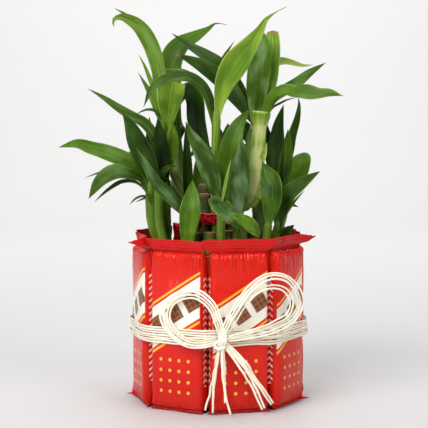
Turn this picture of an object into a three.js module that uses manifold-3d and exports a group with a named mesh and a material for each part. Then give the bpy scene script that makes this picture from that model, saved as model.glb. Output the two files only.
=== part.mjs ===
// Lucky bamboo: two layers of leafy canes in a glass vase of water, with a ring of wrapped
// sweet bars round the vase, tied with a raffia bow. Millimetres, +Z up, front towards -Y.
// The origin is the centre of the vase's base, on the surface it stands on.
import * as THREE from 'three';
import { mergeVertices } from 'three/addons/utils/BufferGeometryUtils.js';
import Module from 'manifold-3d';

const wasm = await Module();
wasm.setup();

// ---- driving dimensions ----
const GAP = 0.3; // between pieces that touch
const VASE = { radius: 46, wall: 2.5, floor: 5, height: 104, sides: 32 };
const WATER_LEVEL = 70;
const CANE = {
  radius: 4.5, nodeSwell: 0.15, nodeBelowTop: 12, foot: VASE.floor + GAP, sides: 8, holeRadius: 4.95,
};
const INNER_RING = 10.6; // radius of the ring of six canes round the middle one
const OUTER_RING = 22; // radius of the ring of twelve shorter canes
const RIBBON = { thickness: 0.6, innerZ: [121, 129], outerZ: [72.5, 79], sides: 24 };
const BAR = {
  count: 8, firstTurn: 15, // degrees from the front towards +X
  innerFace: 46.4, thickness: 11, halfWidth: 19.4, bodyFrom: 6, bodyTo: 101,
  sealHalfThickness: 0.4, sealOver: 25, sealUnder: 19.8,
};
const BAND = { centreZ: 51, height: 11, thickness: 2 };
const BLADE_THICKNESS = 0.8;

// ---- materials ----
const finish = (color, roughness, metalness = 0) =>
  new THREE.MeshStandardMaterial({ color, roughness, metalness });
const MATERIALS = {
  plant: finish(0x4f7a24, 0.45),
  glass: finish(0xdfeeee, 0.05),
  water: finish(0xcfe3e3, 0.05),
  ribbon: finish(0xa3101c, 0.25, 0.8),
  wrapper: finish(0xd0241c, 0.3),
  raffia: finish(0xefe6c6, 0.8),
};

const group = new THREE.Group();

function addPiece(name, geometry, material) {
  const mesh = new THREE.Mesh(geometry, material);
  mesh.name = name;
  group.add(mesh);
  return mesh;
}

// ---- joining closed meshes ----
// Shared vertices become one, and the triangles that this collapses at a pole are dropped.
function weld(geometry) {
  const bare = geometry.clone();
  bare.deleteAttribute('normal');
  bare.deleteAttribute('uv');
  const merged = mergeVertices(bare, 1e-4);
  const old = merged.index.array;
  const index = [];
  for (let first = 0; first < old.length; first += 3) {
    const [a, b, c] = [old[first], old[first + 1], old[first + 2]];
    if (a !== b && b !== c && c !== a) index.push(a, b, c);
  }
  merged.setIndex(index);
  return merged;
}

function toSolid(geometry) {
  const merged = weld(geometry);
  return new wasm.Manifold(new wasm.Mesh({
    numProp: 3,
    vertProperties: new Float32Array(merged.attributes.position.array),
    triVerts: new Uint32Array(merged.index.array),
  }));
}

function toGeometry(solid) {
  const mesh = solid.getMesh();
  const geometry = new THREE.BufferGeometry();
  geometry.setAttribute('position', new THREE.BufferAttribute(mesh.vertProperties, 3));
  geometry.setIndex(new THREE.BufferAttribute(mesh.triVerts, 1));
  geometry.computeVertexNormals();
  return geometry;
}

// Overlapping meshes become one body: a hollow that they enclose is filled.
function fuse(geometries) {
  const whole = geometries.map(toSolid).reduce((sum, next) => sum.add(next));
  const bodies = whole.decompose().sort((a, b) => b.volume() - a.volume());
  return toGeometry(bodies[0]);
}

// ---- shapes swept along a path ----
const vector = (point) => new THREE.Vector3(...point);
const smoothPath = (points) => new THREE.CatmullRomCurve3(points.map(vector), false, 'centripetal');

// A closed skin over rings of points: quads are split the same way all along, ends are fans.
function loft(rings, closedLoop = false) {
  const count = rings[0].length;
  const positions = rings.flat().flatMap((point) => [point.x, point.y, point.z]);
  const index = [];
  const spans = closedLoop ? rings.length : rings.length - 1;
  for (let ring = 0; ring < spans; ring += 1) {
    const here = ring * count;
    const next = ((ring + 1) % rings.length) * count;
    for (let side = 0; side < count; side += 1) {
      const other = (side + 1) % count;
      index.push(here + side, here + other, next + other, here + side, next + other, next + side);
    }
  }
  if (!closedLoop) {
    const last = (rings.length - 1) * count;
    for (let side = 1; side < count - 1; side += 1) {
      index.push(0, side + 1, side);
      index.push(last, last + side, last + side + 1);
    }
  }
  const geometry = new THREE.BufferGeometry();
  geometry.setAttribute('position', new THREE.Float32BufferAttribute(positions, 3));
  geometry.setIndex(index);
  return geometry;
}

// A round or oval rod along points, its radii running from the first value to the last.
function rod(points, radii, { sides = 6, steps = 0, flat = 1, up = [0, -1, 0.2] } = {}) {
  const path = smoothPath(points);
  const spans = steps || 2 * (points.length - 1);
  const rings = [];
  for (let step = 0; step <= spans; step += 1) {
    const along = step / spans;
    const centre = path.getPoint(along);
    const ahead = path.getTangent(along);
    const high = vector(up).addScaledVector(ahead, -vector(up).dot(ahead)).normalize();
    const wide = new THREE.Vector3().crossVectors(high, ahead);
    const place = along * (radii.length - 1);
    const before = Math.min(Math.floor(place), radii.length - 2);
    const radius = THREE.MathUtils.lerp(radii[before], radii[before + 1], place - before);
    rings.push(Array.from({ length: sides }, (_, side) => {
      const angle = (2 * Math.PI * side) / sides;
      return centre.clone()
        .addScaledVector(wide, radius * Math.cos(angle))
        .addScaledVector(high, radius * flat * Math.sin(angle));
    }));
  }
  return loft(rings);
}

// ---- leaf blades ----
// How wide a blade is at each share of its length, as a share of its full width.
const BLADE_SHAPES = {
  lance: { widest: 0.4, base: 0.42, fall: 1.9, power: 1 },
  drawn: { widest: 0.36, base: 0.4, fall: 1.5, power: 1.5 },
  round: { widest: 0.6, base: 0.45, fall: 2.6, power: 0.7 },
  blunt: { widest: 0.55, base: 0.5, fall: 3, power: 0.25 },
};

function bladeWidth(along, { widest, base, fall, power }) {
  if (along < widest) {
    const rise = Math.sin((along / widest) * (Math.PI / 2));
    return base + (1 - base) * rise;
  }
  const rest = (along - widest) / (1 - widest);
  return Math.max((1 - rest ** fall) ** power, 0);
}

// A folded blade: width, the way its upper face looks, its midrib's points, and its shape.
function blade({ width, face, points, shape = 'lance', fold = 0.22 }) {
  const path = smoothPath(points);
  const rows = Math.max(4, Math.min(7, points.length - 1));
  const rings = [];
  for (let row = 0; row <= rows; row += 1) {
    const along = row / rows;
    const centre = path.getPointAt(along);
    const ahead = path.getTangentAt(along);
    const normal = vector(face).addScaledVector(ahead, -vector(face).dot(ahead)).normalize();
    const across = new THREE.Vector3().crossVectors(normal, ahead);
    const half = Math.max((width / 2) * bladeWidth(along, BLADE_SHAPES[shape]), 0.35);
    const lift = half * fold;
    const corner = (side, rise) => centre.clone()
      .addScaledVector(across, side * half)
      .addScaledVector(normal, Math.abs(side) * lift + (rise * BLADE_THICKNESS) / 2);
    rings.push([corner(-1, -1), corner(0, -1), corner(1, -1), corner(1, 1), corner(0, 1), corner(-1, 1)]);
  }
  return loftBlade(rings);
}

// The skin of a blade, whose upper and lower faces are split along the same diagonals.
function loftBlade(rings) {
  const positions = rings.flat().flatMap((point) => [point.x, point.y, point.z]);
  const index = [];
  const quad = (a, b, c, d) => index.push(a, b, c, a, c, d);
  for (let ring = 0; ring < rings.length - 1; ring += 1) {
    const here = ring * 6;
    const next = here + 6;
    quad(here, here + 1, next + 1, next);
    quad(here + 1, here + 2, next + 2, next + 1);
    quad(here + 2, here + 3, next + 3, next + 2);
    index.push(here + 3, here + 4, next + 3, here + 4, next + 4, next + 3);
    index.push(here + 4, here + 5, next + 4, here + 5, next + 5, next + 4);
    quad(here + 5, here, next, next + 5);
  }
  const last = (rings.length - 1) * 6;
  for (const [a, b, c, d] of [[0, 5, 4, 1], [1, 4, 3, 2]]) {
    index.push(a, b, c, a, c, d);
    index.push(last + a, last + c, last + b, last + a, last + d, last + c);
  }
  const geometry = new THREE.BufferGeometry();
  geometry.setAttribute('position', new THREE.Float32BufferAttribute(positions, 3));
  geometry.setIndex(index);
  return geometry;
}

// ---- canes ----
function ringPlace(radius, turn) {
  const angle = THREE.MathUtils.degToRad(turn);
  return [radius * Math.sin(angle), -radius * Math.cos(angle)];
}

// A sawn cane with the swollen node that its shoots spring from.
function caneRod([x, y], top) {
  const { radius, nodeSwell, foot, sides } = CANE;
  const node = top - CANE.nodeBelowTop;
  const profile = [[0, foot], [radius, foot], [radius, node - 2.5], [radius + nodeSwell, node],
    [radius, node + 1.5], [radius, top - 0.5], [radius - 0.6, top], [0, top]];
  const geometry = new THREE.LatheGeometry(profile.map(([r, z]) => new THREE.Vector2(r, z)), sides);
  geometry.rotateX(Math.PI / 2);
  geometry.translate(x, y, 0);
  return weld(geometry);
}

// Every cane: where it stands, how tall it is, and the shoots on it. A shoot is a stem with its
// radii, and blades given as [width, face, points, shape].
const CANES = {
  innerMiddle: {
    at: [0, 0], top: 164,
    stems: [[[[0, 0, 150], [-3, 2, 158], [-6, 4, 168]], [2.6, 2.4]],
      [[[0, 1, 150], [4, 5, 157], [5, 8, 166]], [2.6, 2.4]]],
    blades: [
      [13, [0, -1, 0.2], [[-5, 3, 164], [-7.5, 4, 170], [-10.5, 6, 178], [-15, 8, 191.5], [-16, 9, 205],
        [-20, 11, 213], [-26, 13, 209], [-31, 14, 194]]],
      [10, [0, -1, 0.4], [[5, 7, 163], [6, 9, 172], [7, 11, 182], [7, 14, 190]]],
    ],
  },
  innerFront: {
    at: ringPlace(INNER_RING, 0), top: 142,
    stems: [[[[0, -10, 132], [-1, -14, 138], [-1.5, -17, 150], [-1.5, -17, 175], [-1, -17, 200]],
      [3, 2.9, 2.2, 2.1]]],
    blades: [
      [14, [0.2, -1, 0.2], [[-1, -17, 190], [1, -19, 205], [4, -22, 219.5], [11, -26, 233], [19, -30, 243],
        [26, -34, 251.5], [30.5, -36, 257.5], [37.5, -40, 262.5], [45, -44, 266]], 'drawn'],
      [11, [0.2, -0.55, 1], [[-2, -17, 184], [-4.5, -18, 199], [-7.5, -20, 209], [-13, -23, 216.5],
        [-20, -25, 220.5], [-29, -27, 220.5], [-37.5, -28, 218], [-44, -28, 213], [-49.5, -28, 201]]],
      [4, [0, -1, 0], [[-1, -16, 192], [1, -15, 210], [3, -14, 232], [11, -13.5, 245.5]]],
      [8, [0, -0.25, 1], [[-2, -16, 184], [-7, -14, 205], [-19, -13, 223], [-32, -13, 227], [-43, -14, 223]]],
    ],
  },
  innerFrontRight: {
    at: ringPlace(INNER_RING, 60), top: 140,
    stems: [[[[9, -5, 134], [15, -8, 133], [20.5, -10, 137], [24, -9.5, 152], [26, -9, 166], [28, -8.5, 184],
      [29.5, -8, 198]], [3, 3.6, 3.9, 3.9, 3.9, 4.5]]],
    blades: [
      [15, [0, -1, 0], [[28, -9, 190], [27.5, -9, 205], [28, -8, 222], [28.5, -6, 238], [29.5, -3, 253]]],
      [10.5, [-0.1, -1, 0], [[31, -5, 190], [34, -1, 215], [36, 5, 236], [37, 12, 254]], 'blunt'],
      [12.5, [0, -0.6, 1], [[30, -10, 190], [36, -14, 206], [44, -18, 210.5], [51, -22, 210],
        [57.5, -26, 210.3], [65, -29, 209.6], [73.5, -32, 209.5], [82.5, -35, 208.3]]],
      [13, [0.3, -1, 0.6], [[27, -6, 190], [22, -1, 200], [15, 2, 211], [7, 3, 222], [0, 3, 230],
        [-9, 5, 236], [-19, 8, 242.5], [-32, 12, 252]]],
      [15, [0.3, -1, 0.6], [[26, -7, 187], [20, -5, 196], [12, -5, 207], [4, -6, 217], [-3, -6, 223],
        [-12, -6, 229], [-21, -6, 233.5], [-29, -6, 237]]],
      [8.5, [-0.3, -1, 0.5], [[31, -6, 192], [38, -2, 206], [47.5, 2, 213], [54, 5, 217], [63.5, 9, 224.5],
        [75, 13, 232]]],
      [4, [0, -0.3, 1], [[30, -5, 190], [37, 1, 200], [43, 2, 203.5], [48.5, 3, 206.2], [54.7, 3, 207.6]]],
      [5, [0.3, -1, 0], [[28, -9, 166], [32, -9.5, 171], [34, -9.5, 178]]],
      [5, [0.3, -1, 0], [[25, -10, 145], [30, -10, 150], [33, -10, 157]]],
    ],
  },
  innerBackRight: {
    at: ringPlace(INNER_RING, 120), top: 146,
    stems: [[[[9, 5, 134], [15, 10, 140], [20, 14, 160], [23, 15, 186]], [2.8, 2.8, 2.2]]],
    blades: [
      [8, [0, -0.6, 1], [[23, 15, 180], [28, 15, 205], [33, 15, 222], [37, 15, 230], [44, 15, 232.5],
        [52.5, 20, 231.5], [60, 23, 230], [67, 26, 231]]],
      [12, [-0.4, -0.4, 1], [[21, 15, 165], [26, 24, 180], [31, 33, 186], [37, 44, 183]]],
      [11, [-0.6, -1, 0.4], [[22, 16, 176], [19, 22, 186], [14, 26, 192]]],
    ],
  },
  innerBack: {
    at: ringPlace(INNER_RING, 180), top: 150,
    stems: [[[[0, 10, 134], [0, 16, 140], [-1, 20, 150], [-1, 22, 168]], [2.8, 2.8, 2.3]]],
    blades: [
      [13, [0.3, -0.4, 1], [[-1, 21, 156], [-5, 28, 168], [-12, 37, 171], [-20, 47, 165]]],
      [13, [-0.3, -0.4, 1], [[0, 22, 158], [8, 30, 171], [16, 38, 174], [25, 47, 167]]],
      [9, [0, -1, 0.4], [[-1, 22, 162], [1, 25, 176], [2, 29, 186]]],
    ],
  },
  innerBackLeft: {
    at: ringPlace(INNER_RING, 240), top: 148,
    stems: [[[[-9, 5, 134], [-16, 10, 140], [-24, 14, 155], [-27.5, 16, 175], [-29, 16, 194]],
      [2.8, 2.8, 2.4, 2]]],
    blades: [
      [13, [0, -1, 0.3], [[-29, 16, 188], [-31.5, 21, 212], [-32.5, 25, 233], [-26, 27, 244],
        [-15, 29, 251], [-7, 31, 256], [-1.5, 32, 260], [7, 32, 259]], 'drawn'],
      [12, [0.5, -0.4, 1], [[-26, 15, 164], [-32, 23, 178], [-39, 32, 183], [-48, 42, 178]]],
      [10, [0.4, -1, 0.4], [[-28, 16, 176], [-28, 22, 188], [-26, 30, 192]]],
    ],
  },
  innerFrontLeft: {
    at: ringPlace(INNER_RING, 300), top: 142,
    stems: [[[[-9, -5, 134], [-17, -2, 137], [-26, 2, 146], [-31.5, 4, 160], [-33, 3, 174], [-34, 3, 186]],
      [2.6, 2.7, 3.1, 3, 3]]],
    blades: [
      [17, [-0.3, -1, 0.2], [[-34, 3, 180], [-36, 1, 197], [-39, -3, 211.5], [-42, -7, 227],
        [-46.5, -12, 243.5], [-53.5, -17, 255], [-61, -21, 260.5], [-69, -25, 266.5]]],
      [9, [-0.8, -0.4, 0.5], [[-34, 2, 182], [-39, -1, 202], [-44, -3, 216], [-49, -4, 228], [-54, -5, 237]]],
      [8, [-0.7, -0.5, 0.5], [[-34, 4, 180], [-41, 6, 198], [-47, 7, 212], [-55, 7, 225]]],
      [12, [0.2, -1, 0.1], [[-33, 3, 178], [-30, 2, 192], [-28, 0, 204], [-26, -2, 215]]],
      [8, [0.1, -1, 0], [[-32, 2, 164], [-31, -2, 178], [-31.5, -3, 194]]],
      [6, [-0.5, -1, 0.3], [[-33, 3, 168], [-37, 2, 178], [-42, 2, 186], [-47, 2, 194]]],
      [6, [-0.1, -0.3, 1], [[-34, 3, 184], [-40, 4, 196], [-48, 5, 199], [-57, 5, 196]]],
    ],
  },
  outer1: {
    at: ringPlace(OUTER_RING, 15), top: 118,
    stems: [[[[5, -22, 98], [3, -27, 104], [2, -29, 114], [2, -29, 126], [2, -29, 138]], [2.8, 2.7, 2.5]]],
    blades: [
      [13.5, [0.3, -1, 0.2], [[1.5, -29, 133], [-1, -30, 142], [-5, -32, 155], [-11, -33, 170.5],
        [-17.5, -33, 182], [-21.5, -32, 191.5]]],
      [15.5, [-0.1, -1, 0.1], [[2.5, -29, 132], [4.5, -27, 147], [7, -25, 162], [9.5, -24, 178],
        [13.5, -22, 189], [21.5, -20, 200]]],
      [12.5, [0.2, -0.8, 0.7], [[1.5, -30, 132], [2, -35, 137], [5, -40, 132], [10, -43, 127.5],
        [16.5, -45, 124.5], [22, -45, 121.5], [27, -43, 118.5]]],
      [4, [-0.6, -0.8, 0], [[2, -30, 133], [3.5, -32, 142], [6, -33, 155], [8.5, -33, 166]]],
    ],
  },
  outer2: {
    at: ringPlace(OUTER_RING, 45), top: 119,
    stems: [[[[15, -16, 92], [14, -21, 98], [12.5, -25, 110], [12, -27, 124]], [2.6, 2.6, 2.2]],
      [[[16, -16, 86], [23, -20, 89], [29, -24, 99], [32, -26, 110], [34, -27, 126]], [2.8, 2.7, 2.5]]],
    blades: [
      [14, [0.1, -1, 0.1], [[12, -27, 118], [12.5, -28.5, 131], [13.5, -30, 142], [14.5, -31, 155],
        [15.3, -32, 168], [15.8, -32, 181]]],
      [15, [0, -1, 0.3], [[34, -27, 120], [34.5, -28, 132], [36, -28, 140], [36.5, -27, 149],
        [34, -24, 157], [31, -21, 163]]],
      [10, [0.2, -1, 0], [[32, -24, 110], [31, -17, 118], [30, -14, 130], [32, -13, 143]]],
    ],
  },
  outer3: {
    at: ringPlace(OUTER_RING, 75), top: 120,
    stems: [[[[21, -6, 84], [29, -9, 87], [34, -12, 98], [38, -14, 109], [41, -17, 124]], [2.8, 2.8, 2.5]]],
    blades: [
      [14, [-0.3, -1, 0.6], [[41, -17, 116], [42, -19, 130], [46, -21, 140], [54, -21, 147.5],
        [62, -20, 153.5], [69, -19, 158]]],
      [6, [-0.3, -0.2, 1], [[41, -16, 120], [46.5, -12, 128], [52, -11, 136], [59, -10, 144.5]]],
      [8, [-0.4, -1, 0.3], [[38, -14, 106], [42, -13, 111], [46.5, -12, 116], [52, -11, 121]]],
    ],
  },
  outer4: {
    at: ringPlace(OUTER_RING, 105), top: 116,
    stems: [[[[21, 6, 84], [29, 11, 88], [35, 14, 99], [41, 17, 111], [46, 19, 126], [47, 19, 144]],
      [2.9, 2.9, 2.6]]],
    blades: [
      [8.5, [-0.6, -0.8, 0], [[47, 20, 138], [48.5, 20, 160], [51, 20, 171], [53, 20, 182], [56, 20, 193],
        [57, 19, 203], [56, 18, 208.5]]],
      [12, [-0.2, -1, 0], [[45.5, 18, 134], [42, 14, 148], [41, 12, 160], [41, 11, 174], [42, 10, 188],
        [45.5, 10, 203]]],
      [9, [-0.3, -1, 0], [[46, 19, 138], [40, 19, 155], [37, 19, 172], [34, 19, 190]]],
      [13, [0.1, -1, 0], [[46.5, 18, 136], [47, 14, 150], [48, 12, 162], [48.5, 11, 173], [48.6, 10, 186]]],
      [14.5, [-0.3, -0.7, 0.8], [[47, 20, 134], [53, 24, 144], [57, 28, 154], [59.5, 32, 162],
        [62, 38, 169]], 'round'],
    ],
  },
  outer5: {
    at: ringPlace(OUTER_RING, 135), top: 118,
    stems: [[[[16, 16, 86], [20, 21, 90], [24, 27, 102], [27, 31, 118], [27, 32, 134]], [2.8, 2.7, 2.4]]],
    blades: [
      [13, [-0.5, -0.3, 1], [[27, 32, 126], [35, 38, 142], [45, 45, 150], [57, 53, 148]]],
      [13, [-0.3, -0.6, 0.8], [[27, 32, 128], [31, 41, 144], [36, 52, 153], [42, 64, 151]]],
      [12, [0, 1, 0.4], [[27, 32, 128], [26, 38, 146], [27, 43, 160], [29, 45, 174]]],
      [10, [-0.8, 0.2, 0.6], [[26, 31, 120], [36, 32, 128], [47, 33, 132], [58, 34, 130]]],
    ],
  },
  outer6: {
    at: ringPlace(OUTER_RING, 165), top: 117,
    stems: [[[[6, 22, 86], [7, 28, 90], [9, 34, 102], [10, 38, 120], [9, 39, 138]], [2.8, 2.7, 2.4]]],
    blades: [
      [13, [0.2, -0.5, 1], [[9, 39, 130], [6, 48, 146], [3, 59, 151], [1, 71, 145]]],
      [12, [0, 1, 0.3], [[9, 39, 132], [12, 45, 148], [14, 48, 162], [15, 49, 176]]],
      [12, [-0.4, -0.5, 1], [[9.5, 39, 126], [16, 49, 138], [22, 60, 141], [28, 72, 134]]],
    ],
  },
  outer7: {
    at: ringPlace(OUTER_RING, 195), top: 120,
    stems: [[[[-6, 22, 86], [-8, 28, 90], [-9, 34, 102], [-10, 38, 120], [-10, 38, 136]], [2.8, 2.7, 2.4]]],
    blades: [
      [13, [0.5, -0.5, 1], [[-10, 38, 128], [-16, 47, 144], [-22, 58, 149], [-29, 70, 143]]],
      [12, [0, 1, 0.3], [[-10, 38, 130], [-12, 45, 146], [-12, 49, 160], [-11, 50, 174]]],
      [11, [0.2, -0.6, 1], [[-10, 38, 124], [-10, 48, 133], [-10, 59, 134], [-10, 70, 127]]],
    ],
  },
  outer8: {
    at: ringPlace(OUTER_RING, 225), top: 117,
    stems: [[[[-16, 16, 86], [-20, 22, 90], [-22, 28, 102], [-23, 32, 118], [-23, 33, 134]], [2.8, 2.7, 2.4]]],
    blades: [
      [13, [0.5, -0.4, 1], [[-23, 33, 126], [-33, 40, 142], [-44, 47, 149], [-56, 54, 146]]],
      [13, [0.4, 1, 0.4], [[-23, 33, 128], [-27, 39, 146], [-31, 43, 160], [-34, 44, 172]]],
      [11, [0.3, -0.5, 1], [[-23, 33, 122], [-32, 44, 130], [-38, 55, 131], [-45, 66, 124]]],
      [10, [0.7, 0.2, 0.7], [[-23, 32, 122], [-35, 29, 132], [-47, 27, 137], [-59, 26, 134]]],
    ],
  },
  outer9: {
    at: ringPlace(OUTER_RING, 255), top: 118,
    stems: [[[[-21, 6, 84], [-28, 3, 87], [-33, -1, 98], [-35, -3, 109], [-35.5, -4, 126], [-35, -4, 152]],
      [2.8, 2.8, 2.6, 2.4]]],
    blades: [
      [9, [0.2, -1, 0], [[-36, -4, 146], [-42, -3, 156], [-45.5, -2, 170], [-46.5, -2, 182], [-47, -2, 194.5]]],
      [11, [0.1, -1, 0], [[-35, -5, 148], [-37, -7, 160], [-38.5, -8, 172], [-41, -8, 194]]],
      [8, [0.2, -0.6, 1], [[-35.5, -5, 142], [-38, -8, 150], [-37, -11, 156], [-33, -12, 160], [-28, -12, 161]]],
      [10, [-0.3, -1, 0.5], [[-36, -5, 148], [-39, -6, 168], [-43, -7, 181], [-50, -8, 190], [-58, -9, 194.5],
        [-67, -10, 200], [-77, -11, 207], [-88, -12, 213.5]]],
    ],
  },
  outer10: {
    at: ringPlace(OUTER_RING, 285), top: 119,
    stems: [[[[-21, -6, 82], [-29, -8, 85], [-35, -9, 97], [-39, -9, 107], [-44, -10, 119], [-46, -10, 134],
      [-46, -10, 151]], [2.9, 2.9, 2.8, 2.6]]],
    blades: [
      [13, [0.1, -0.8, 0.6], [[-46, -10, 144], [-48.5, -11, 155], [-54, -12, 160.5], [-63, -14, 164.8],
        [-75, -15, 169.5], [-86, -16, 173], [-95, -17, 176], [-107.5, -17, 174]]],
      [14, [0.2, -0.7, 0.8], [[-46, -11, 141], [-52, -14, 151.5], [-60, -19, 156], [-70, -24, 156.5],
        [-78.5, -27, 151.5], [-86.5, -28, 140]]],
      [8, [0.1, -0.3, 1], [[-46, -11, 132], [-49, -16, 144], [-55.5, -20, 150], [-63.5, -23, 150.5],
        [-73, -25, 145.5], [-83, -26, 137.5]]],
      [9, [0.3, -0.4, 1], [[-46, -9, 142], [-54, -1, 152], [-66, 6, 157], [-79, 12, 156], [-94, 17, 151.5]]],
      [4, [0.2, -0.3, 1], [[-46, -9, 136], [-51, -6, 140], [-56, -4, 138.5], [-61, -3, 134]]],
      [9, [0.4, -1, 0.3], [[-46, -9, 144], [-50, -7, 154], [-55, -6, 163], [-61, -5, 171]]],
    ],
  },
  outer11: {
    at: ringPlace(OUTER_RING, 315), top: 116,
    stems: [[[[-16, -16, 88], [-18, -22, 94], [-20, -26, 104], [-20, -28, 116], [-19.5, -28, 128]],
      [3, 3.2, 3]],
    [[[-16, -16, 82], [-25, -18, 86], [-32, -18, 97], [-36, -17, 107], [-39.5, -15, 122], [-41, -14, 151]],
      [2.6, 2.6, 2.5]]],
    blades: [
      [14, [0, -1, 0.1], [[-20, -28, 112], [-19.3, -29, 121], [-18.7, -30, 133], [-17.5, -28, 142],
        [-17, -25, 152.5]]],
      [10, [0.2, -1, 0.2], [[-20, -27, 120], [-25, -30, 133], [-33, -32, 142], [-42, -34, 152],
        [-48.5, -35, 163.5], [-54.5, -35, 174.5]]],
      [9, [1, -0.15, 0], [[-19.5, -27, 122], [-21, -21, 138], [-21, -19, 158], [-21.5, -18, 175],
        [-21.5, -18, 191]]],
      [15.5, [-0.2, -1, 0.1], [[-41, -14, 146], [-44, -17, 156], [-48.5, -20, 166], [-54, -23, 178],
        [-59.5, -23, 190], [-64, -22, 197]]],
    ],
  },
  outer12: { at: ringPlace(OUTER_RING, 345), top: 117, stems: [], blades: [] },
};

for (const [name, cane] of Object.entries(CANES)) {
  const pieces = [caneRod(cane.at, cane.top)];
  for (const [points, radii] of cane.stems) {
    pieces.push(rod(points, radii, { steps: points.length }));
  }
  for (const [width, face, points, shape] of cane.blades) {
    pieces.push(blade({ width, face, points, shape }));
  }
  addPiece(`cane_${name}`, fuse(pieces), MATERIALS.plant);
}

// ---- vase and water ----
function turned(profile, sides) {
  const geometry = new THREE.LatheGeometry(profile.map(([r, z]) => new THREE.Vector2(r, z)), sides);
  geometry.rotateX(Math.PI / 2);
  return weld(geometry);
}

function addVaseAndWater() {
  const { radius, wall, floor, height, sides } = VASE;
  const inside = radius - wall;
  addPiece('vase', turned([
    [0, 0], [radius - 1.5, 0], [radius, 1.5], [radius, height - 1], [radius - 1, height],
    [inside + 0.5, height], [inside, height - 0.5], [inside, floor], [0, floor],
  ], sides), MATERIALS.glass);
  let water = toSolid(turned([
    [0, floor + GAP], [inside - GAP, floor + GAP], [inside - GAP, WATER_LEVEL], [0, WATER_LEVEL],
  ], sides));
  for (const { at: [x, y] } of Object.values(CANES)) {
    const hole = new THREE.CylinderGeometry(CANE.holeRadius, CANE.holeRadius, 2 * WATER_LEVEL, 8);
    hole.rotateX(Math.PI / 2);
    hole.translate(x, y, WATER_LEVEL / 2);
    water = water.subtract(toSolid(hole));
  }
  addPiece('water', toGeometry(water), MATERIALS.water);
}
addVaseAndWater();

// ---- ribbons round the two layers of canes ----
function addRibbon(name, caneRing, [low, high]) {
  const inside = (caneRing + CANE.radius + CANE.nodeSwell + GAP) / Math.cos(Math.PI / RIBBON.sides);
  const outside = inside + RIBBON.thickness;
  addPiece(name, turned([
    [inside, low], [outside, low], [outside, high], [inside, high], [inside, low],
  ], RIBBON.sides), MATERIALS.ribbon);
}
addRibbon('ribbon_inner', INNER_RING, RIBBON.innerZ);
addRibbon('ribbon_outer', OUTER_RING, RIBBON.outerZ);

// ---- wrapped sweet bars ----
// Half widths to the left and right, half thickness, outward lean and height of each section.
function barSections({ left, right, lean, flare, rise }) {
  const { halfWidth, thickness, bodyFrom, bodyTo, sealHalfThickness: seal } = BAR;
  const half = thickness / 2;
  const end = (reach) => Math.min(reach, 21.5);
  return [
    { z: 0.4, left: end(left) - 0.6, right: end(right) - 0.6, depth: seal, out: 2.4 },
    { z: 2.2, left: end(left) - 1, right: end(right) - 1, depth: seal + 0.3, out: 0.6 },
    { z: bodyFrom - 2, left: halfWidth - 0.8, right: halfWidth - 0.8, depth: half * 0.7, out: 0 },
    { z: bodyFrom + 1.5, left: halfWidth, right: halfWidth, depth: half, out: 0 },
    { z: bodyTo - 4, left: halfWidth, right: halfWidth, depth: half, out: 0 },
    { z: bodyTo + 1, left: halfWidth - 0.2, right: halfWidth - 0.2, depth: half * 0.62, out: 0 },
    { z: bodyTo + 5, left: end(left) - 0.8, right: end(right) - 0.8, depth: seal + 0.2, out: 0 },
    { z: bodyTo + 9 + rise / 2, left: left - 0.6, right: right - 0.6, depth: seal, out: lean / 2, flare: flare / 2 },
    { z: bodyTo + 14 + rise, left, right, depth: seal, out: lean, flare },
  ];
}

// One section's outline: flat faces, rounded corners, and ends that flare outwards.
function barOutline({ z, left, right, depth, out, flare = 0 }) {
  const corner = Math.min(depth, 2.6);
  const soft = corner * 0.3;
  const row = (y, inset) => [[-left + inset, y], [right - inset, y]];
  const lower = [...row(-depth, corner), [right - soft, -depth + soft], [right, -depth + corner]];
  const upper = [[right, depth - corner], [right - soft, depth - soft], [right - corner, depth],
    [0, depth], [-left + corner, depth], [-left + soft, depth - soft], [-left, depth - corner],
    [-left, -depth + corner], [-left + soft, -depth + soft]];
  return [...lower, ...upper].map(([x, y]) => {
    const bend = flare * Math.max((Math.abs(x) - 12) / 13, 0) ** 2 * (x > 0 ? 1 : 0.5);
    return new THREE.Vector3(x, -(y + out + bend), z);
  });
}

function addBar(index, shape) {
  const geometry = loft(barSections(shape).map((section) => barOutline(section).reverse()));
  geometry.translate(0, -(BAR.innerFace + BAR.thickness / 2), 0);
  geometry.rotateZ(THREE.MathUtils.degToRad(BAR.firstTurn + (360 / BAR.count) * index));
  addPiece(`bar_${index + 1}`, geometry, MATERIALS.wrapper);
}

// Which seal ends lie over their neighbour's, and how far each seal leans and flares outwards.
const { sealOver: OVER, sealUnder: UNDER } = BAR;
const BAR_SHAPES = [
  { left: OVER, right: OVER, lean: 1, flare: 1, rise: 0 },
  { left: UNDER, right: OVER, lean: 1.5, flare: 5, rise: 0 },
  { left: UNDER, right: OVER, lean: 1, flare: 3, rise: 1 },
  { left: UNDER, right: OVER, lean: 1, flare: 2, rise: -1 },
  { left: UNDER, right: UNDER, lean: 0, flare: 0, rise: 0 },
  { left: OVER, right: UNDER, lean: 1, flare: 2, rise: 1 },
  { left: OVER, right: UNDER, lean: 1, flare: 6, rise: 0 },
  { left: OVER, right: UNDER, lean: 1, flare: 1, rise: -1 },
];
BAR_SHAPES.forEach((shape, index) => addBar(index, shape));

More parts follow.
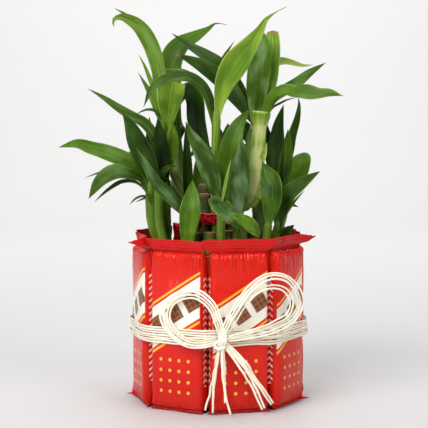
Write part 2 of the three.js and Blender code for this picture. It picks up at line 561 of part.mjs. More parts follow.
// ---- raffia band and bow ----
// The band lies flat on each bar and runs straight across the groove to the next one.
function bandGeometry() {
  const apothem = BAR.innerFace + BAR.thickness + GAP;
  const flatHalf = BAR.halfWidth - 1.5;
  const rings = [];
  for (let bar = 0; bar < BAR.count; bar += 1) {
    const turn = THREE.MathUtils.degToRad(BAR.firstTurn + (360 / BAR.count) * bar);
    for (const along of [-flatHalf, -flatHalf / 3, flatHalf / 3, flatHalf]) {
      const corner = Math.abs(along) === flatHalf;
      const strands = [[0, -0.5], [1, -0.5], [0.6, -0.25], [1, 0], [0.6, 0.25], [1, 0.5], [0, 0.5]];
      rings.push(strands.map(([out, high]) => {
        const reach = apothem + out * BAND.thickness + (corner ? 0.2 : 0);
        const point = new THREE.Vector3(along * (1 + (0.2 * out * BAND.thickness) / flatHalf), -reach,
          BAND.centreZ + high * BAND.height);
        return point.applyAxisAngle(new THREE.Vector3(0, 0, 1), turn);
      }));
    }
  }
  return loft(rings.map((ring) => ring.reverse()), true);
}

const BOW = {
  leftLoop: [[0, -64, 51], [-9, -64.5, 48.5], [-19, -62, 48.5], [-30, -56.5, 54], [-36, -52.5, 64],
    [-34, -53.5, 74], [-25, -57, 81], [-14, -61, 82.5], [-5, -63.5, 75], [0, -64, 63], [2, -64, 54]],
  rightLoop: [[3, -63.5, 54], [6, -65, 62], [12, -65, 72], [19, -63, 82], [28, -60, 89.5], [37, -56.5, 91.5],
    [46, -52, 88.5], [52.5, -48, 80], [54, -46, 71], [49, -48.5, 62], [36, -55, 56], [18, -60.5, 52.5],
    [6, -63, 51]],
  innerLoop: [[4, -63, 53], [10, -63, 62], [16, -62.5, 72], [24.5, -61, 81], [34, -57, 84.5],
    [43, -53, 82], [48, -50.5, 74], [46, -51, 66], [36, -56, 60.5], [22, -61, 56], [6, -63, 52]],
  tails: [
    [[1, -64, 48], [-1, -64, 38], [-4, -62.5, 22], [-8.5, -61.5, 4]],
    [[1.5, -65, 48], [-1, -65.5, 34], [-3, -65, 20], [-3.5, -64, 3]],
    [[2, -65.5, 48], [2, -67, 34], [3.5, -67, 18], [7.5, -66, 2]],
    [[3, -64.5, 48], [4, -64, 34], [4.3, -63, 20], [4.5, -62, 9]],
    [[3.5, -64, 49], [12, -63.5, 37], [22, -60, 21], [29.5, -57, 4]],
    [[4, -64.5, 49], [15, -63, 38], [27, -59.5, 20], [35.5, -55.5, 7]],
  ],
};

function bowRods() {
  const loopForm = { sides: 6, flat: 0.5, up: [0.2, -1, 0] };
  return [
    rod([[-3.5, -61.8, 50], [0, -64.2, 51], [2.5, -65, 51.3], [5, -64.6, 51.5], [8, -62.6, 52]],
      [2, 5, 6, 5, 2], { sides: 8, steps: 6, flat: 0.6 }),
    rod(BOW.leftLoop, [3, 3, 3], { ...loopForm, steps: 14 }),
    rod(BOW.rightLoop, [2.4, 2.4, 2.4], { ...loopForm, steps: 16 }),
    rod(BOW.innerLoop, [1.9, 1.9, 1.9], { ...loopForm, steps: 14 }),
    ...BOW.tails.map((points) => rod(points, [1.3, 1.5, 1.7], { sides: 4, steps: 4, flat: 0.6 })),
  ];
}
addPiece('raffia_tie', fuse([bandGeometry(), ...bowRods()]), MATERIALS.raffia);

export default group;
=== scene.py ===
# Lucky bamboo in a glass vase, with wrapped sweet bars round it and a raffia bow.
# The tables hold millimetres; meshes are made in metres, +Z up, front towards -Y.
import math
import random

import bmesh
import bpy
import numpy as np
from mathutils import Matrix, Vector, noise


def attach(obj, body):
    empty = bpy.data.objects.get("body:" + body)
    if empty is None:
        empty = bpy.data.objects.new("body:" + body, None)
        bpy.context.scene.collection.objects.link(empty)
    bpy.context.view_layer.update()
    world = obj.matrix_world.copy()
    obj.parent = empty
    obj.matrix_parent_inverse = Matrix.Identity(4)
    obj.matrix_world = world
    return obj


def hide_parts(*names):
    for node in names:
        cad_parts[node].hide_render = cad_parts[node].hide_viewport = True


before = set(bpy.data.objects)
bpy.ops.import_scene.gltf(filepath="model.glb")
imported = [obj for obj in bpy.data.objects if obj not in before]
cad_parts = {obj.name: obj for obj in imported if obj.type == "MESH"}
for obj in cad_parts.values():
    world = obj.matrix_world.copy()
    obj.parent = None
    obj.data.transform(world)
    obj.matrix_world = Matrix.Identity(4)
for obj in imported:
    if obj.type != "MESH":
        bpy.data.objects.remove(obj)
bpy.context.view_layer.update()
mm = 0.001
spanSteps = 16  # fine steps of a smooth path between two of its points
joinWithin = 2e-6  # metres within which corners are merged
plainLook = (0, 0, 0, 0)
towardsFront = (0, -1, 0)


# How far along its way each point of a path lies.
def runAlong(points):
    return np.concatenate([[0], np.cumsum(np.linalg.norm(np.diff(points, axis=0), axis=1))])


# A centripetal Catmull-Rom path through the points, at even steps of its length, and that length.
def smoothPath(points, count):
    knots = np.array(points, float)
    knots = np.vstack([2 * knots[0] - knots[1], knots, 2 * knots[-1] - knots[-2]])
    fine = []
    for k in range(len(knots) - 3):
        a, b, c, d = knots[k:k + 4]
        gaps = [max(np.linalg.norm(q - p), 1e-6) ** 0.5 for p, q in ((a, b), (b, c), (c, d))]
        out = ((b - a) / gaps[0] - (c - a) / (gaps[0] + gaps[1]) + (c - b) / gaps[1]) * gaps[1]
        into = ((c - b) / gaps[1] - (d - b) / (gaps[1] + gaps[2]) + (d - c) / gaps[2]) * gaps[1]
        for s in np.linspace(0, 1, spanSteps, endpoint=False):
            fine.append(b * (2 * s ** 3 - 3 * s ** 2 + 1) + out * (s ** 3 - 2 * s ** 2 + s)
                        + c * (3 * s ** 2 - 2 * s ** 3) + into * (s ** 3 - s ** 2))
    fine = np.array([*fine, knots[-2]])
    run = runAlong(fine)
    even = np.linspace(0, run[-1], count)
    return np.stack([np.interp(even, run, fine[:, axis]) for axis in range(3)], 1), run[-1]


def unit(vectors):
    return vectors / np.maximum(np.linalg.norm(vectors, axis=-1, keepdims=True), 1e-9)


# Across and normal at each point of a path. The normal keeps towards the given way, and where it
# is None, outwards from the upright axis.
def pathFrames(centres, towards):
    ahead = unit(np.gradient(centres, axis=0))
    if towards is None:
        towards = centres * (1, 1, 0)
    towards = np.broadcast_to(np.array(towards, float), ahead.shape)
    normal = unit(towards - ahead * (towards * ahead).sum(1, keepdims=True))
    return np.cross(ahead, normal), normal


def twistFrames(across, normal, twist):
    cosine, sine = np.cos(twist)[:, None], np.sin(twist)[:, None]
    return across * cosine + normal * sine, normal * cosine - across * sine


# The grid of points that lie over along across and up along normal from each point of a path.
def besidePath(centres, across, normal, over, up):
    return centres[:, None] + across[:, None] * over[..., None] + normal[:, None] * up[..., None]


# Where a point lies that stands out from the upright axis, and aside of that, turned round the axis.
def roundAxis(turn, out, aside=0):
    angle = math.radians(turn)
    return (aside * math.cos(angle) + out * math.sin(angle), aside * math.sin(angle) - out * math.cos(angle))


# 0 at low, 1 at high, straight between them and held beyond.
def climb(value, low, high):
    return np.clip((value - low) / (high - low), 0, 1)


def hump(distance, width):
    return np.exp(-(distance / width) ** 2)


def noiseAt(places):
    return np.array([noise.noise(Vector(place)) for place in places])


# Smooth seeded wander, one value for each entry of along.
def wander(along, pace, seed):
    return noiseAt([(value * pace, seed * 7.31, 3.7) for value in along])


# Says the first and the last row twice.
def withEnds(rows):
    return np.concatenate([rows[:1], rows, rows[-1:]])


# Adds a row at each end of a grid along a path, with all its corners at the path's own end.
def drawIn(place, centres):
    place = withEnds(place)
    place[0], place[-1] = centres[0], centres[-1]
    return place


# Adds a row at each end of a flat closed grid, halfway between the corners that face each other.
def meetPlies(place, facing):
    ends = [((row + row[facing]) / 2)[None] for row in (place[0], place[-1])]
    return np.concatenate([ends[0], place, ends[1]])


# The look of each grid row: tone, pale part (lines, or painted sheen on a leaf), brown part and a pattern
# seed.
def rowLook(tone, pale, brown, seed):
    return np.stack(np.broadcast_arrays(tone, pale, brown, seed % 1), 1)[:, None]


def newMesh():
    bm = bmesh.new()
    bm.verts.layers.float_color.new("look")
    bm.loops.layers.uv.new("UVMap")
    return bm


# A grid of quads laid through place[row][column] (mm). Doubled corners close it into a tube.
def layGrid(bm, place, look, shareAcross=None, shareAlong=None, slots=0):
    rows, columns = place.shape[:2]
    if shareAcross is None:
        shareAcross = np.linspace(0, 1, columns)
    if shareAlong is None:
        shareAlong = np.linspace(0, 1, rows)
    looks = np.broadcast_to(np.array(look, float), (rows, columns, 4))
    slots = np.broadcast_to(slots, (rows, columns))
    made = bmesh.ops.create_grid(bm, x_segments=columns - 1, y_segments=rows - 1, size=0.5)
    uvs = bm.loops.layers.uv["UVMap"]
    lookLayer = bm.verts.layers.float_color["look"]
    spot = {}
    for vert in made["verts"]:
        spot[vert] = (round((vert.co.y + 0.5) * (rows - 1)), round((vert.co.x + 0.5) * (columns - 1)))
        vert[lookLayer] = looks[spot[vert]]
    for face in {face for vert in made["verts"] for face in vert.link_faces}:
        face.smooth = True
        spots = [spot[loop.vert] for loop in face.loops]
        for loop, (row, column) in zip(face.loops, spots):
            loop[uvs].uv = (shareAcross[column], shareAlong[row])
        face.material_index = int(slots[min(s[0] for s in spots), min(s[1] for s in spots)])
    for vert, at in spot.items():
        vert.co = place[at] * mm
    bmesh.ops.remove_doubles(bm, verts=made["verts"], dist=joinWithin)


# A shape turned round an upright axis at (x, y) from its (radius, height) rows.
def layTurned(bm, at, profile, look, sides, slots=0, bump=0.0, seed=0):
    angle = np.linspace(0, 2 * np.pi, sides + 1)
    place = []
    for radius, height in profile:
        uneven = noiseAt([(math.cos(a), math.sin(a), height / 14 + seed) for a in angle])
        reach = radius * (1 + bump * uneven)
        place.append(np.stack([at[0] + reach * np.cos(angle), at[1] + reach * np.sin(angle),
                               np.full(sides + 1, float(height))], 1))
    layGrid(bm, np.array(place), look, slots=slots)


def addObject(name, content):
    made = bpy.data.objects.new(name, content)
    bpy.context.scene.collection.objects.link(made)
    return made


def addMesh(bm, name, materials):
    mesh = bpy.data.meshes.new(name)
    bm.to_mesh(mesh)
    bm.free()
    for material in materials:
        mesh.materials.append(material)
    return addObject(name, mesh)


# Makes the piece, which rides on the part and stands for its CAD nodes.
def finishPiece(bm, name, materials, nodes):
    bmesh.ops.recalc_face_normals(bm, faces=bm.faces)
    piece = addMesh(bm, name, materials)
    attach(piece, "root")
    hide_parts(*nodes)


def feed(tree, socket, value):
    if isinstance(value, bpy.types.NodeSocket):
        tree.links.new(value, socket)
    else:
        socket.default_value = value


def addNode(tree, kind, inputs=None, **settings):
    made = tree.nodes.new(kind)
    for key, value in settings.items():
        setattr(made, key, value)
    for key, value in (inputs or {}).items():
        feed(tree, made.inputs[key], value)
    return made


def calc(tree, operation, *values):
    return addNode(tree, "ShaderNodeMath", dict(enumerate(values)), operation=operation).outputs[0]


def times(tree, first, second):
    return calc(tree, "MULTIPLY", first, second)


# The value and a share of a pattern.
def plusShare(tree, value, pattern, share):
    return calc(tree, "ADD", value, times(tree, pattern, share))


# The value, swayed both ways by a pattern that runs from 0 to 1.
def sway(tree, value, pattern, share):
    return plusShare(tree, value, calc(tree, "SUBTRACT", pattern, 0.5), share)


# How far a value stands from a middle, on either side.
def offFrom(tree, value, middle):
    return calc(tree, "ABSOLUTE", calc(tree, "SUBTRACT", value, middle))


def mixColour(tree, share, first, second):
    inputs = {"Factor": share, 6: first, 7: second}
    return addNode(tree, "ShaderNodeMix", inputs, data_type="RGBA").outputs[2]


# 0 below low, 1 above high, and a smooth step between them.
def softStep(tree, value, low, high):
    inputs = {"Value": value, "From Min": low, "From Max": high}
    return addNode(tree, "ShaderNodeMapRange", inputs, interpolation_type="SMOOTHSTEP").outputs[0]


def ramp(tree, value, stops):
    made = addNode(tree, "ShaderNodeValToRGB", {"Fac": value})
    points = made.color_ramp.elements
    while len(points) < len(stops):
        points.new(0.5)
    for point, (place, colour) in zip(points, stops):
        point.position = place
        point.color = (*colour, 1)
    return made.outputs["Color"]


def objectNoise(tree, scale, detail, roughness=0.5):
    place = addNode(tree, "ShaderNodeTexCoord").outputs["Object"]
    inputs = {"Vector": place, "Scale": scale, "Detail": detail, "Roughness": roughness}
    return addNode(tree, "ShaderNodeTexNoise", inputs).outputs["Fac"]


def newMaterial(name, constants):
    material = bpy.data.materials.new(name)
    material.use_nodes = True
    tree = material.node_tree
    shader = tree.nodes["Principled BSDF"]
    for key, value in constants.items():
        shader.inputs[key].default_value = value
    return material, tree, shader


# Links the colour and the roughness to the shader, where given, and a bump of height to its normal.
def finishSurface(tree, shader, colour, rough, height, distance, strength=1.0):
    bump = addNode(tree, "ShaderNodeBump", {"Height": height, "Strength": strength, "Distance": distance})
    links = {"Base Color": colour, "Roughness": rough, "Normal": bump.outputs["Normal"]}
    for key, value in links.items():
        if value is not None:
            tree.links.new(value, shader.inputs[key])


def readUv(tree):
    uv = addNode(tree, "ShaderNodeSeparateXYZ", {0: addNode(tree, "ShaderNodeUVMap").outputs[0]})
    return uv.outputs[0], uv.outputs[1]


# Tone, pale part, brown part and seed, as rowLook says.
def readLook(tree):
    look = addNode(tree, "ShaderNodeAttribute", attribute_name="look")
    parts = addNode(tree, "ShaderNodeSeparateColor", {0: look.outputs["Color"]})
    return [*parts.outputs[:3], look.outputs["Alpha"]]


# Fine lines along a piece's own length, from its UV map: leaf veins, cane grain, raffia fibres.
def makeStreaks():
    group = bpy.data.node_groups.new("lengthwiseStreaks", "ShaderNodeTree")
    for label, default in (("Lines", 30.0), ("Breaks", 2.0), ("Seed", 0.0), ("Detail", 3.0)):
        socket = group.interface.new_socket(label, in_out="INPUT", socket_type="NodeSocketFloat")
        socket.default_value = default
    group.interface.new_socket("Value", in_out="OUTPUT", socket_type="NodeSocketFloat")
    given = group.nodes.new("NodeGroupInput").outputs
    put = group.nodes.new("NodeGroupOutput")
    across, along = readUv(group)
    seedGap = 37.0  # sets the patterns of two seeds well apart
    place = addNode(group, "ShaderNodeCombineXYZ", {
        0: times(group, across, given["Lines"]), 1: times(group, along, given["Breaks"]),
        2: times(group, given["Seed"], seedGap)})
    grain = addNode(group, "ShaderNodeTexNoise", {
        "Vector": place.outputs[0], "Scale": 1.0, "Detail": given["Detail"], "Roughness": 0.6})
    group.links.new(grain.outputs["Fac"], put.inputs["Value"])
    return group


streaksGroup = makeStreaks()


def addStreaks(tree, lines, breaks, seed, detail=3.0):
    made = tree.nodes.new("ShaderNodeGroup")
    made.node_tree = streaksGroup
    for key, value in {"Lines": lines, "Breaks": breaks, "Seed": seed, "Detail": detail}.items():
        feed(tree, made.inputs[key], value)
    return made.outputs["Value"]


# Greens from old leaf through young leaf to pale sheath, for the tone in the look attribute.
greenStops = [
    (0.0, (0.006, 0.018, 0.002)), (0.3, (0.026, 0.066, 0.004)), (0.6, (0.095, 0.20, 0.010)),
    (0.8, (0.24, 0.38, 0.035)), (1.0, (0.50, 0.56, 0.20))]
# Leaf finish. One colour here is a painted sheen that lies over cloudy patches of each blade.
leafFinish = {
    "veins": 34.0, "veinShade": 0.42, "veinRoughness": 0.14, "cloudShade": 0.6, "midribShade": 0.1,
    "paleMarginAndHighlight": 0.3, "paintedSheen": (0.25, 0.36, 0.20, 1), "paintedSheenShare": 0.5, "dryTip": (0.30, 0.17, 0.05, 1),
    "bump": 0.0005}
barkFinish = {
    "gloss": 0.25, "grainShade": 0.6, "grainRoughness": 0.2, "blotchShade": 0.25, "blotchBump": 0.4,
    "olive": (0.17, 0.19, 0.05, 1), "line": (0.30, 0.23, 0.09, 1), "lineShare": 0.75,
    "brown": (0.22, 0.09, 0.03, 1)}
pithStops = [(0.3, (0.20, 0.09, 0.03)), (0.5, (0.38, 0.21, 0.07)), (0.7, (0.52, 0.35, 0.15))]


def leafMaterial(name, lift, roughness, gloss):
    material, tree, shader = newMaterial(name, {
        "Specular IOR Level": gloss, "Subsurface Weight": 0.12, "Subsurface Radius": (0.3, 0.6, 0.1),
        "Subsurface Scale": 0.002})
    tone, paintedSheen, brown, seed = readLook(tree)
    across, along = readUv(tree)
    veins = addStreaks(tree, leafFinish["veins"], 1.2, seed, 2.0)
    cloud = addStreaks(tree, 1.5, 3.0, seed, 2.0)
    off = offFrom(tree, across, 0.5)
    midrib = calc(tree, "SUBTRACT", 1.0, softStep(tree, off, 0.008, 0.035))
    shade = sway(tree, tone, veins, leafFinish["veinShade"])
    shade = sway(tree, shade, cloud, leafFinish["cloudShade"])
    shade = plusShare(tree, shade, midrib, leafFinish["midribShade"])
    # Paler margins, with a painted highlight along them.
    shade = plusShare(tree, shade, softStep(tree, off, 0.45, 0.495), leafFinish["paleMarginAndHighlight"])
    base = ramp(tree, calc(tree, "ADD", shade, lift), greenStops)
    # Painted sheen: a pale grey-green over cloudy patches, as strong as the look's pale part asks.
    paintedSheenMask = times(tree, times(tree, paintedSheen, softStep(tree, cloud, 0.42, 0.72)), leafFinish["paintedSheenShare"])
    base = mixColour(tree, paintedSheenMask, base, leafFinish["paintedSheen"])
    tip = times(tree, brown, softStep(tree, along, 0.93, 0.99))
    base = mixColour(tree, tip, base, leafFinish["dryTip"])
    rough = plusShare(tree, roughness, veins, leafFinish["veinRoughness"])
    height = calc(tree, "SUBTRACT", veins, times(tree, midrib, 0.7))
    finishSurface(tree, shader, base, rough, height, leafFinish["bump"])
    return material


def barkMaterial(name, lines, roughness, distance, olive):
    material, tree, shader = newMaterial(name, {"Specular IOR Level": barkFinish["gloss"]})
    tone, line, brown, seed = readLook(tree)
    grain = addStreaks(tree, lines, 3.0, seed)
    blotch = objectNoise(tree, 160.0, 3.0)
    shade = sway(tree, tone, grain, barkFinish["grainShade"])
    base = ramp(tree, sway(tree, shade, blotch, barkFinish["blotchShade"]), greenStops)
    base = mixColour(tree, olive, base, barkFinish["olive"])
    base = mixColour(tree, times(tree, line, barkFinish["lineShare"]), base, barkFinish["line"])
    base = mixColour(tree, brown, base, barkFinish["brown"])
    rough = plusShare(tree, roughness, grain, barkFinish["grainRoughness"])
    height = plusShare(tree, grain, blotch, barkFinish["blotchBump"])
    finishSurface(tree, shader, base, rough, height, distance)
    return material


def cutMaterial():
    material, tree, shader = newMaterial("sawnEnd", {"Roughness": 0.7})
    spot = objectNoise(tree, 900.0, 4.0)
    finishSurface(tree, shader, ramp(tree, spot, pithStops), None, spot, 0.0003)
    return material


leafTop = leafMaterial("leafUpperSide", -0.01, 0.16, 0.15)
leafUnder = leafMaterial("leafUnderSide", 0.1, 0.36, 0.1)
stemSkin = barkMaterial("youngStem", 18.0, 0.3, 0.0003, 0.1)
caneSkin = barkMaterial("caneSkin", 46.0, 0.34, 0.00018, 0.3)
plantMaterials = [caneSkin, cutMaterial(), stemSkin, leafTop, leafUnder]
barkSlot, cutSlot, stemSlot, leafTopSlot, leafUnderSlot = range(5)
print("plant materials made")

cane = {
    "radius": 4.5, "foot": 5.3, "sides": 28, "nodeBelowTop": 12, "nodeGaps": (21, 31), "nodeSwell": 0.32,
    "rise": 1.1, "uneven": 0.012, "cutBrown": 0.7, "innerRing": 10.6, "outerRing": 22,
    "rim": [(4.35, -0.35), (4.1, -0.08), (3.7, 0), (3.2, -0.25), (1.5, -0.45), (0, -0.4)]}
shootForm = {
    "rowsPerMm": 1.3, "fewestRows": 24, "sides": 16, "sheathGaps": (11, 24), "sheaths": 30,
    "fuller": 1.08, "sheathSwell": 0.05, "sheathLine": 0.22, "nodeSwell": 0.12, "brownTo": 0.12,
    "brown": 0.16, "browner": 0.75, "darkening": 2.4, "cutTone": 0.9, "cutSpread": 0.3, "topFrom": 0.87}
leafForm = {
    "rows": 44, "halfColumns": 10, "thick": 0.42, "rib": 0.35, "fold": 0.3, "clasp": 0.9,
    "claspTo": 0.16, "twist": 0.22, "ripple": 0.26, "ripplePitch": 13, "leastHalf": 0.45,
    "uneven": 0.05, "upper": 0.6, "under": 1.4, "youngTip": 0.05, "youngFoot": 0.16}
leafShapes = {  # where a blade is widest, its width at the base, and how it falls to the tip
    "lance": (0.46, 0.36, 2.0, 1), "drawn": (0.46, 0.2, 1.45, 2.2), "late": (0.62, 0.5, 2.2, 1),
    "strap": (0.5, 0.6, 3.4, 0.7), "arch": (0.5, 0.5, 1.8, 2.0), "broad": (0.34, 0.6, 2, 1),
    "sheath": (0.45, 0.72, 1.9, 0.9), "fan": (0.94, 0.14, 4, 0.5), "spoon": (0.66, 0.45, 1.8, 1.2),
    "paddle": (0.56, 0.2, 1.8, 1.1), "blade": (0.55, 0.5, 1.6, 1.0), "round": (0.6, 0.45, 2.6, 0.7),
    "blunt": (0.55, 0.5, 3, 0.25)}
plainLeaf = ("lance", 0, 0.3, 0)
